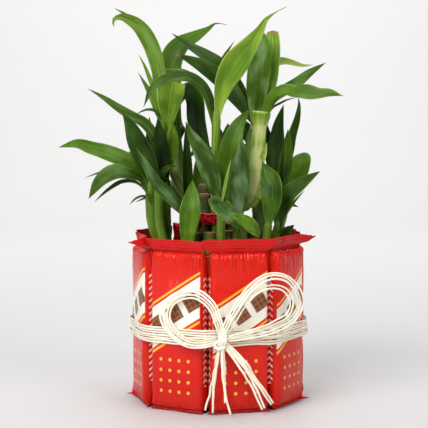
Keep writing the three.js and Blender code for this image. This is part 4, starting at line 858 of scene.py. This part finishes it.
# Half widths of the top seal to the left and right, its lean, outward flare and rise, and the
# flare of the foot seal, which is at its left corner if it is below 0.
barShapes = [
    (over, over, 1, 1, 0, 1), (under, over, 1.5, 9, 0, 11), (under, over, 1, 3, 1, 2),
    (under, over, 1, 2, -1, 3), (under, under, 0, 0, 0, 1), (over, under, 1, 2, 1, 3),
    (under, over, 1, 15, 0, -18), (over, under, 1, 1, -1, 2)]
wrapper = {  # the print and painted shade, in millimetres from the middle of the front face and from the foot
    "across": 100.0, "tall": 118.0, "frontHalf": 18.6, "sashTilt": 32, "sashAt": 66.0, "sashHalf": 11.5,
    "trimAt": 13.6, "trimHalf": 0.7, "tilePitch": 15.0, "tileHalf": 5.3, "gridPitch": 3.4, "gridHalf": 0.3,
    "dotPitch": 7.0, "dotFrom": 0.9, "dotTo": 1.25, "dotsAt": 24.5, "dotsHalf": 13.9, "edgeAt": 24.4,
    "edgeHalf": 3.0, "dashPitch": 4.2, "dashHalf": 0.75, "dashSlope": 0.7, "dashesAt": 54.0,
    "dashesHalf": 36.0, "sealShadowAt": 106.6, "gloss": 0.24, "roughness": 0.13, "filmBump": 0.9,
    "pleatBump": 5.0, "slackBump": 2.2, "bump": 0.0012, "bumpShare": 0.8,
    "red": (0.68, 0.014, 0.005, 1), "shadedRed": (0.57, 0.010, 0.004, 1),
    "sealShaded": (0.55, 0.006, 0.004, 1), "sealShadow": (0.22, 0.003, 0.003, 1), "cream": (0.90, 0.86, 0.76, 1),
    "brown": (0.17, 0.055, 0.02, 1), "yellow": (0.86, 0.50, 0.05, 1), "grid": (0.42, 0.20, 0.08, 1)}


def wrapperMaterial():
    material, tree, shader = newMaterial("printedWrapper", {"Specular IOR Level": wrapper["gloss"]})
    across, along = readUv(tree)
    seed = readLook(tree)[3]
    x = times(tree, calc(tree, "SUBTRACT", across, 0.5), wrapper["across"])
    z = times(tree, along, wrapper["tall"])
    away = calc(tree, "ABSOLUTE", x)

    def band(value, middle, half, soft=0.25):
        off = offFrom(tree, value, middle)
        return calc(tree, "SUBTRACT", 1.0, softStep(tree, off, half - soft, half + soft))

    def both(first, second):
        return times(tree, first, second)

    def repeat(value, pitch):  # the distance from the nearest of evenly spaced lines
        return calc(tree, "PINGPONG", value, pitch / 2)

    front = band(x, 0.0, wrapper["frontHalf"])
    tilt = math.radians(wrapper["sashTilt"])
    above = calc(tree, "SUBTRACT", z, wrapper["sashAt"])
    run = calc(tree, "ADD", both(x, math.cos(tilt)), both(above, math.sin(tilt)))
    rise = calc(tree, "SUBTRACT", both(above, math.cos(tilt)), both(x, math.sin(tilt)))
    # The top seals: rougher, and a darker red that is painted shade.
    sealShaded = softStep(tree, z, 105.5, 107.5)
    # Painted shadow: a dark line where the body meets the top seal.
    sealShadow = both(band(z, wrapper["sealShadowAt"], 0.9, 0.5), 0.7)
    sash = both(band(rise, 0.0, wrapper["sashHalf"]), front)
    trim = both(band(calc(tree, "ABSOLUTE", rise), wrapper["trimAt"], wrapper["trimHalf"]), front)
    tile = both(band(repeat(run, wrapper["tilePitch"]), 0.0, wrapper["tileHalf"], 0.5),
                band(rise, 0.0, wrapper["tileHalf"], 0.5))
    tile = both(tile, front)
    lines = [band(repeat(value, wrapper["gridPitch"]), 0.0, wrapper["gridHalf"]) for value in (run, rise)]
    grid = both(both(calc(tree, "MAXIMUM", *lines), tile), 0.6)
    dotX = repeat(calc(tree, "ADD", x, wrapper["dotPitch"] / 2), wrapper["dotPitch"])
    dotZ = repeat(z, wrapper["dotPitch"])
    far = calc(tree, "SQRT", calc(tree, "ADD", both(dotX, dotX), both(dotZ, dotZ)))
    dots = calc(tree, "SUBTRACT", 1.0, softStep(tree, far, wrapper["dotFrom"], wrapper["dotTo"]))
    dots = both(both(dots, band(z, wrapper["dotsAt"], wrapper["dotsHalf"])),
                band(x, 0.0, wrapper["dotsHalf"]))
    slope = plusShare(tree, z, offFrom(tree, away, wrapper["edgeAt"]), wrapper["dashSlope"])
    dash = band(repeat(slope, wrapper["dashPitch"]), wrapper["dashPitch"] / 2, wrapper["dashHalf"], 0.15)
    dash = both(both(band(away, wrapper["edgeAt"], wrapper["edgeHalf"], 0.3), dash),
                band(z, wrapper["dashesAt"], wrapper["dashesHalf"]))
    # Painted shade: the red darkens towards the foot of each bar.
    colour = mixColour(tree, softStep(tree, z, 8.0, 60.0), wrapper["shadedRed"], wrapper["red"])
    for mask, ink in ((sealShaded, "sealShaded"), (sealShadow, "sealShadow"), (sash, "cream"), (trim, "yellow"),
                      (tile, "brown"), (grid, "grid"), (dots, "yellow"), (both(dash, 0.8), "cream")):
        colour = mixColour(tree, mask, colour, wrapper[ink])
    film = objectNoise(tree, 90.0, 3.0, 0.45)
    slack = objectNoise(tree, 34.0, 1.0)
    pull = addNode(tree, "ShaderNodeTexNoise", {
        "Vector": addNode(tree, "ShaderNodeCombineXYZ", {
            0: both(x, 0.34), 1: both(z, 0.05), 2: both(seed, 5.0)}).outputs[0],
        "Scale": 1.0, "Detail": 2.0}).outputs["Fac"]
    nearHead = both(softStep(tree, z, 84.0, 103.0), softStep(tree, z, 107.0, 105.5))
    nearEnds = calc(tree, "MAXIMUM", nearHead, softStep(tree, z, 16.0, 4.0))
    pleat = both(offFrom(tree, pull, 0.5), nearEnds)
    folds = plusShare(tree, both(film, wrapper["filmBump"]), pleat, wrapper["pleatBump"])
    folds = plusShare(tree, folds, slack, wrapper["slackBump"])
    rough = plusShare(tree, plusShare(tree, wrapper["roughness"], film, 0.12), sealShaded, 0.25)
    finishSurface(tree, shader, colour, rough, folds, wrapper["bump"], wrapper["bumpShare"])
    return material


printedWrapper = wrapperMaterial()


# One section's outline as (x, outward) pairs, from the middle of the back round by the left.
def barOutline(left, right, depth):
    faces, sides = bar["faceColumns"], bar["edgeColumns"]
    corner, behind = (min(bar[key], depth * 0.98) for key in ("frontCorner", "backCorner"))
    angle = np.linspace(0, np.pi / 2, 5)[1:-1]

    def bend(x, y, start, signX, signY, radius):
        turn = angle if start else angle[::-1]
        return np.stack([x + signX * radius * np.sin(turn), y + signY * radius * np.cos(turn)], 1)

    def run(x0, y0, x1, y1, count):
        share = np.linspace(0, 1, count + 1)[:, None]
        return np.array([x0, y0]) * (1 - share) + np.array([x1, y1]) * share

    return np.concatenate([
        run(0, -depth, -left + behind, -depth, faces // 2),
        bend(-left + behind, -depth + behind, True, -1, -1, behind),
        run(-left, -depth + behind, -left, depth - corner, sides),
        bend(-left + corner, depth - corner, False, -1, 1, corner),
        run(-left + corner, depth, right - corner, depth, faces),
        bend(right - corner, depth - corner, True, 1, 1, corner),
        run(right, depth - corner, right, -depth + behind, sides),
        bend(right - behind, -depth + behind, False, 1, -1, behind),
        run(right - behind, -depth, 0, -depth, faces // 2)])


def layBar(bm, index):
    left, right, lean, flare, rise, kick = barShapes[index]
    seed = index * 3.17 + 1.3
    thick, wide, seal = bar["thick"] / 2, bar["halfWidth"], bar["seal"]
    low, high = bar["bodyFrom"], bar["bodyTo"]
    sealFrom, tip = high + bar["sealAbove"], high + bar["tipAbove"] + rise
    heights = np.concatenate([
        np.linspace(0.4, 6.2, 18), np.linspace(7.5, high - 12, 26), np.linspace(high - 10, high - 1.5, 8),
        np.linspace(high - 1, sealFrom, 16), np.arange(sealFrom + 0.2, tip + 0.01, bar["crimp"] / 7)])

    def halfWidths(far):
        foot, head = min(far, bar["footHalf"]), min(far, bar["neckHalf"])
        return [foot, foot - 1, wide - 0.5, wide, wide, wide, wide - 0.2, wide + 0.2, head - 0.6, far - 0.8,
                far]

    stations = [0.4, 1.5, 2.6, 3.8, 6.2, high - 1.8, high, high + 1.4, sealFrom, high + 5, tip]
    sizes = [
        halfWidths(left), halfWidths(right),
        [seal, seal + 0.2, thick * 0.5, thick * 0.84, thick, thick, thick * 0.84, thick * 0.45, seal + 0.1,
         seal, seal],
        [bar["footOut"], bar["footOut"] / 2, 0.3, 0, 0, 0, 0, 0, 0, lean / 2, lean],
        [kick, kick * 0.9, kick * 0.7, kick * 0.4, 0, 0, 0, 0, 0, flare / 2, flare]]
    turn = bar["firstTurn"] + 360 / bar["count"] * index
    place = []
    for height in heights:
        leftNow, rightNow, depth, out, flareNow = (np.interp(height, stations, size) for size in sizes)
        x, y = barOutline(leftNow, rightNow, depth).T
        facing = np.clip(y / max(depth, 0.1), -1, 1)
        way = np.where(y > 0, 1, -1)
        gather = np.abs(noiseAt([(a * 0.33, seed, w * 4.0) for a, w in zip(x, way)])) ** 0.7
        soft = noiseAt([(a / 15, height / 22, seed + w) for a, w in zip(x, way)])
        crease = noiseAt([(a * 0.5 + height * 0.12 * np.sign(a), height * 0.05, seed) for a in x])
        buckle = noiseAt([(a / 9, height / 30, seed + 9) for a in x])
        body = climb(height, low, low + 4) * climb(height, high + 2, high - 4)
        top, foot = hump(height - high - 1.0, 3.4), hump(height - low + 0.5, 3.0)
        dent = facing * (bar["creaseHead"] * crease * top + bar["softDents"] * soft * body
                         - gather * (bar["gatherHead"] * top + bar["gatherFoot"] * foot))
        # the front is fullest along its middle
        dent = dent - np.where(way > 0, bar["pillow"] * body * (np.abs(x) / wide) ** 3, 0)
        wave = climb(height, sealFrom, sealFrom + 1) * math.sin(2 * math.pi * (height - high) / bar["crimp"])
        bendOut = np.abs(flareNow) * np.maximum((np.abs(x) - bar["flareFrom"]) / bar["flareOver"], 0) ** 2
        bendOut = bendOut * np.where(x * (1 if flareNow >= 0 else -1) > 0, 1, 0.1)
        loose = bar["looseHead"] * climb(height, high + 2, high + 9) + bar["looseFoot"] * climb(height, 4, 1)
        y = y + dent * (1 if depth > 1 else depth)
        y = y + out + bendOut + bar["crimpDepth"] * wave + buckle * loose
        zigzag = bar["zigzag"] * np.where(np.arange(len(x)) % 2 == 0, 1, -1) * (np.abs(facing) > 0.9)
        z = height - 0.15 + zigzag * max(height - tip + bar["zigzagTall"], 0) / bar["zigzagTall"]
        z = z + 0.8 * buckle * climb(height, high, high + 10) + bendOut * (0.2 if height < low else -0.22)
        z = z + 0.5 * climb(height, 3, 0) * (1 + np.clip(buckle, -1, 1))
        place.append(np.column_stack([*roundAxis(turn, bar["innerFace"] + thick + y, x), z]))
    place = np.array(place)
    column = np.arange(place.shape[1])
    full = place.shape[1] - 1
    facing = np.where(column <= full // 2, full // 2 - column, 3 * full // 2 - column)
    steps = runAlong(barOutline(wide, wide, thick))
    shareAcross = 0.5 + (steps - steps[-1] / 2) / wrapper["across"]
    layGrid(bm, meetPlies(place, facing), (0, 0, 0, seed), shareAcross, withEnds(heights) / wrapper["tall"])


for index in range(bar["count"]):
    bm = newMesh()
    layBar(bm, index)
    finishPiece(bm, f"sweetBar_{index + 1}", [printedWrapper], [f"bar_{index + 1}"])
print("wrapped bars made")

raffia = {
    "centreZ": 51, "flatHalf": 17.9, "strands": 7, "pitch": 1.62, "thick": 1.0, "sides": 10, "stray": 0.85,
    "twist": 0.5, "widthSwing": 0.22, "crease": 0.25, "tone": 0.6, "toneSwing": 0.12, "fibreShade": 0.9,
    "coarseShade": 0.5, "sheen": 0.2, "roughness": 0.38, "bump": 0.0004, "bandWidth": 1.3,
    "tailWidth": 1.7, "knotWidth": 1.9, "crossingWidth": 2.0, "aboveBar": 0.7, "stops": [
        (0.0, (0.45, 0.34, 0.15)), (0.3, (0.80, 0.70, 0.45)), (0.55, (0.95, 0.91, 0.74)),
        (1.0, (0.98, 0.96, 0.87))]}
bow = {
    "loops": [  # points, first seed, width, rows, and how each strand is set aside
        ([(0, -64, 51), (-9, -64.5, 48.5), (-19, -62, 48.5), (-29, -56.5, 54), (-34.5, -52.5, 63),
          (-32.5, -53.5, 72.5), (-25, -57, 78.8), (-14, -61, 80), (-5, -63.5, 73.5), (0, -64, 62),
          (2, -64, 54)], 20, 1.25, 96, [(-3.0, 0), (-1.2, 0.4), (0.8, 0), (2.7, 0.5)]),
        ([(3, -63.5, 54), (6, -65, 62), (12, -65, 72), (19, -63, 82), (28, -60, 89.5), (37, -56.5, 91.5),
          (46, -52, 88.5), (52.5, -48, 80), (54, -46, 71), (49, -48.5, 62), (36, -55, 56),
          (18, -60.5, 52.5), (6, -63, 51)], 40, 1.25, 110, [(-2.1, 0), (0.0, 0.4), (2.0, 0.1)]),
        ([(4, -63, 53), (10, -63, 62), (16, -62.5, 72), (24.5, -61, 81), (34, -57, 84.5), (43, -53, 82),
          (48, -50.5, 74), (46, -51, 66), (36, -56, 60.5), (22, -61, 56), (6, -63, 52)],
         60, 1.2, 100, [(-1.1, 0), (1.0, 0.4)])],
    "tails": [  # points, and how each strand is set aside
        ([(1, -64, 48), (-1, -64, 38), (-4, -62.5, 22), (-8.5, -61.5, 4)], [(0, 0)]),
        ([(1.5, -65, 48), (-1, -65.5, 34), (-3, -65, 20), (-3.5, -64, 3)], [(0, 0)]),
        ([(2, -65.5, 48), (2, -67, 34), (3.5, -67, 18), (7.5, -66, 2)], [(-0.6, 0)]),
        ([(3, -64.5, 48), (4, -64, 34), (4.3, -63, 20), (4.5, -62, 9)], [(0, 0)]),
        ([(3.5, -64, 49), (12, -63.5, 37), (22, -60, 21), (29.5, -57, 4)], [(-1.1, 0), (0.9, 0.4)]),
        ([(4, -64.5, 49), (15, -63, 38), (27, -59.5, 20), (35.5, -55.5, 7)], [(-0.8, 0), (0.9, 0.3)])],
    "knotStrands": 4, "knotFrom": 0.6, "knotPitch": 1.2,
    "knot": [(0.8, -61.5, 55), (0.5, -65.2, 54.6), (0, -67.3, 51.5), (-0.2, -67.4, 48.4),
             (-0.4, -65.2, 45.6), (-0.4, -61.5, 45.2)],
    "crossing": [(6.4, -65.5, 51.5), (3, -67.8, 51), (-1, -67.6, 49.4), (-2, -67, 47), (0.4, -67.8, 45.4),
                 (5, -65.8, 46.6)]}


def raffiaMaterial():
    material, tree, shader = newMaterial("raffiaStraw", {"Sheen Weight": raffia["sheen"]})
    look = readLook(tree)
    tone, seed = look[0], look[3]
    fibre = addStreaks(tree, 9.0, 2.5, seed, 4.0)
    coarse = addStreaks(tree, 3.0, 1.2, seed, 2.0)
    shade = sway(tree, sway(tree, tone, fibre, raffia["fibreShade"]), coarse, raffia["coarseShade"])
    rough = plusShare(tree, raffia["roughness"], fibre, 0.3)
    finishSurface(tree, shader, ramp(tree, shade, raffia["stops"]), rough, fibre, raffia["bump"])
    return material


raffiaStraw = raffiaMaterial()


# A dry flattened strand along points, facing outwards, and set aside from them by offset.
def layStrand(bm, points, width, seed, count, offset=(0, 0), taper=0.0, gather=0.35, closed=False):
    centres = smoothPath(points, count)[0]
    along = np.linspace(0, 1, count)
    loose = np.sin(np.pi * along)
    spread = np.ones(count) if closed else gather + (1 - gather) * loose ** 0.5
    swing = loose if closed else 1
    across, normal = pathFrames(centres, None if closed else towardsFront)
    stray = raffia["stray"] * np.stack([wander(along, 7, seed + s) for s in (0.3, 0.7)], 1)
    shift = np.array(offset) * spread[:, None] + stray * loose[:, None]
    centres = centres + across * shift[:, :1] + normal * shift[:, 1:]
    if closed:
        for rows in (centres, across, normal):
            rows[-1] = rows[0]
    across, normal = twistFrames(across, normal, raffia["twist"] * wander(along, 5, seed) * swing)
    uneven = 1 + raffia["widthSwing"] * wander(along, 8, seed + 3) * swing
    half = width / 2 * uneven * (1 - taper * along ** 3)
    angle = np.linspace(0, 2 * np.pi, raffia["sides"] + 1)
    crease = 1 - raffia["crease"] * hump(angle - np.pi / 2, 0.5)
    up = np.sin(angle) * raffia["thick"] / 2 * crease
    place = besidePath(centres, across, normal, np.cos(angle) * half[:, None], up[None])
    if not closed:
        place = drawIn(place, centres)
    tone = raffia["tone"] + raffia["toneSwing"] * math.sin(seed * 5.1)
    layGrid(bm, place, (tone, 0, 0, seed * 0.37 % 1))


# One turn of the band: nearly straight over each bar and round its corners.
def bandPath(height, lift, seed):
    path = []
    reach = bar["innerFace"] + bar["thick"] + raffia["aboveBar"] + lift
    half = raffia["flatHalf"]
    for index in range(bar["count"]):
        turn = bar["firstTurn"] + 360 / bar["count"] * index
        for along in (-half - 0.6, -half / 2, 0, half / 2, half + 0.6):
            wobble = 0.55 * noise.noise(Vector((index * 3 + along / 14, seed, 0)))
            out = reach + (0.35 if abs(along) < half else 0)
            path.append((*roundAxis(turn, out, along), height + wobble))
    return [*path, path[0]]


bm = newMesh()
for strand in range(raffia["strands"]):
    height = raffia["centreZ"] + (strand - (raffia["strands"] - 1) / 2) * raffia["pitch"]
    path = bandPath(height, 0.1 + 0.5 * (strand % 2), strand)
    layStrand(bm, path, raffia["bandWidth"], strand, 260, closed=True)
for points, seed, width, rows, offsets in bow["loops"]:
    for order, offset in enumerate(offsets):
        layStrand(bm, points, width, seed + order, rows, offset, gather=0.6)
tails = [(points, offset) for points, offsets in bow["tails"] for offset in offsets]
for order, (points, offset) in enumerate(tails):
    layStrand(bm, points, raffia["tailWidth"], 80 + order, 60, offset, 0.3, 0.9)
for order in range(bow["knotStrands"]):
    aside = bow["knotFrom"] + order * bow["knotPitch"]
    turns = [(aside + x, y, z) for x, y, z in bow["knot"]]
    layStrand(bm, turns, raffia["knotWidth"], 100 + order, 26)
layStrand(bm, bow["crossing"], raffia["crossingWidth"], 110, 30)
finishPiece(bm, "raffiaTie", [raffiaStraw], ["raffia_tie"])
print("raffia made")

studio = {
    "cameraX": -2.71, "cameraHeight": 197, "cameraDistance": 931, "pitch": 4.262, "lens": 113.9,
    "sensor": 36, "floorColour": (0.625, 0.618, 0.617, 1), "worldColour": (1.0, 1.0, 1.02, 1),
    "worldStrength": 0.09, "floorRoughness": 0.55,
    # in metres: half width, where the floor starts, its flat run, the bend's radius and the whole run
    "floor": (7.0, -7.0, 8.4, 1.0, 10.6),
    "lamps": {  # place, aim, size, power
        "keyLight": ((-0.6, -1.0, 1.05), (0, 0, 0.12), (0.9, 0.7), 20),
        "fillLight": ((0.9, -0.9, 0.6), (0, 0, 0.14), (0.6, 0.6), 7),
        "edgeLight": ((-1.1, -0.55, 0.4), (0, 0, 0.08), (0.25, 0.8), 2.5),
        "topLight": ((0.1, 0.1, 1.3), (0, 0, 0.15), (0.7, 0.7), 5),
        "backdropLight": ((0, 0.9, 1.6), (0, 2.4, 0.2), (2.4, 0.6), 43)}}


# A floor that bends up into the backdrop.
def addStage():
    halfWidth, front, flat, bend, whole = studio["floor"]
    bm = bmesh.new()
    made = bmesh.ops.create_grid(bm, x_segments=24, y_segments=160, size=1)
    for vert in made["verts"]:
        run = (vert.co.y + 1) / 2 * whole
        angle = min(max(run - flat, 0) / bend, math.pi / 2)
        up = max(run - flat - bend * math.pi / 2, 0)
        vert.co = Vector((vert.co.x * halfWidth, front + min(run, flat) + bend * math.sin(angle),
                          bend * (1 - math.cos(angle)) + up))
    for face in bm.faces:
        face.smooth = True
    constants = {"Roughness": studio["floorRoughness"], "Base Color": studio["floorColour"]}
    floor = addMesh(bm, "floor", [newMaterial("paleFloor", constants)[0]])


def addLamp(name, place, aim, size, power):
    lamp = bpy.data.lights.new(name, "AREA")
    lamp.shape = "RECTANGLE"
    lamp.size, lamp.size_y = size
    lamp.energy = power
    made = addObject(name, lamp)
    made.location = place
    made.rotation_euler = (Vector(aim) - Vector(place)).to_track_quat("-Z", "Y").to_euler()


def addCamera():
    camera = bpy.data.cameras.new("camera")
    camera.lens = studio["lens"]
    camera.sensor_width = studio["sensor"]
    camera.clip_start, camera.clip_end = 0.05, 50
    made = addObject("camera", camera)
    made.location = (studio["cameraX"] * mm, -studio["cameraDistance"] * mm, studio["cameraHeight"] * mm)
    made.rotation_euler = (math.radians(90 - studio["pitch"]), 0, 0)
    bpy.context.scene.camera = made


addStage()
world = bpy.data.worlds.new("studio")
bpy.context.scene.world = world
world.use_nodes = True
world.node_tree.nodes["Background"].inputs[0].default_value = studio["worldColour"]
world.node_tree.nodes["Background"].inputs[1].default_value = studio["worldStrength"]
for name, (place, aim, size, power) in studio["lamps"].items():
    addLamp(name, place, aim, size, power)
addCamera()
bpy.context.scene.view_settings.view_transform = "Standard"

print("scene finished")
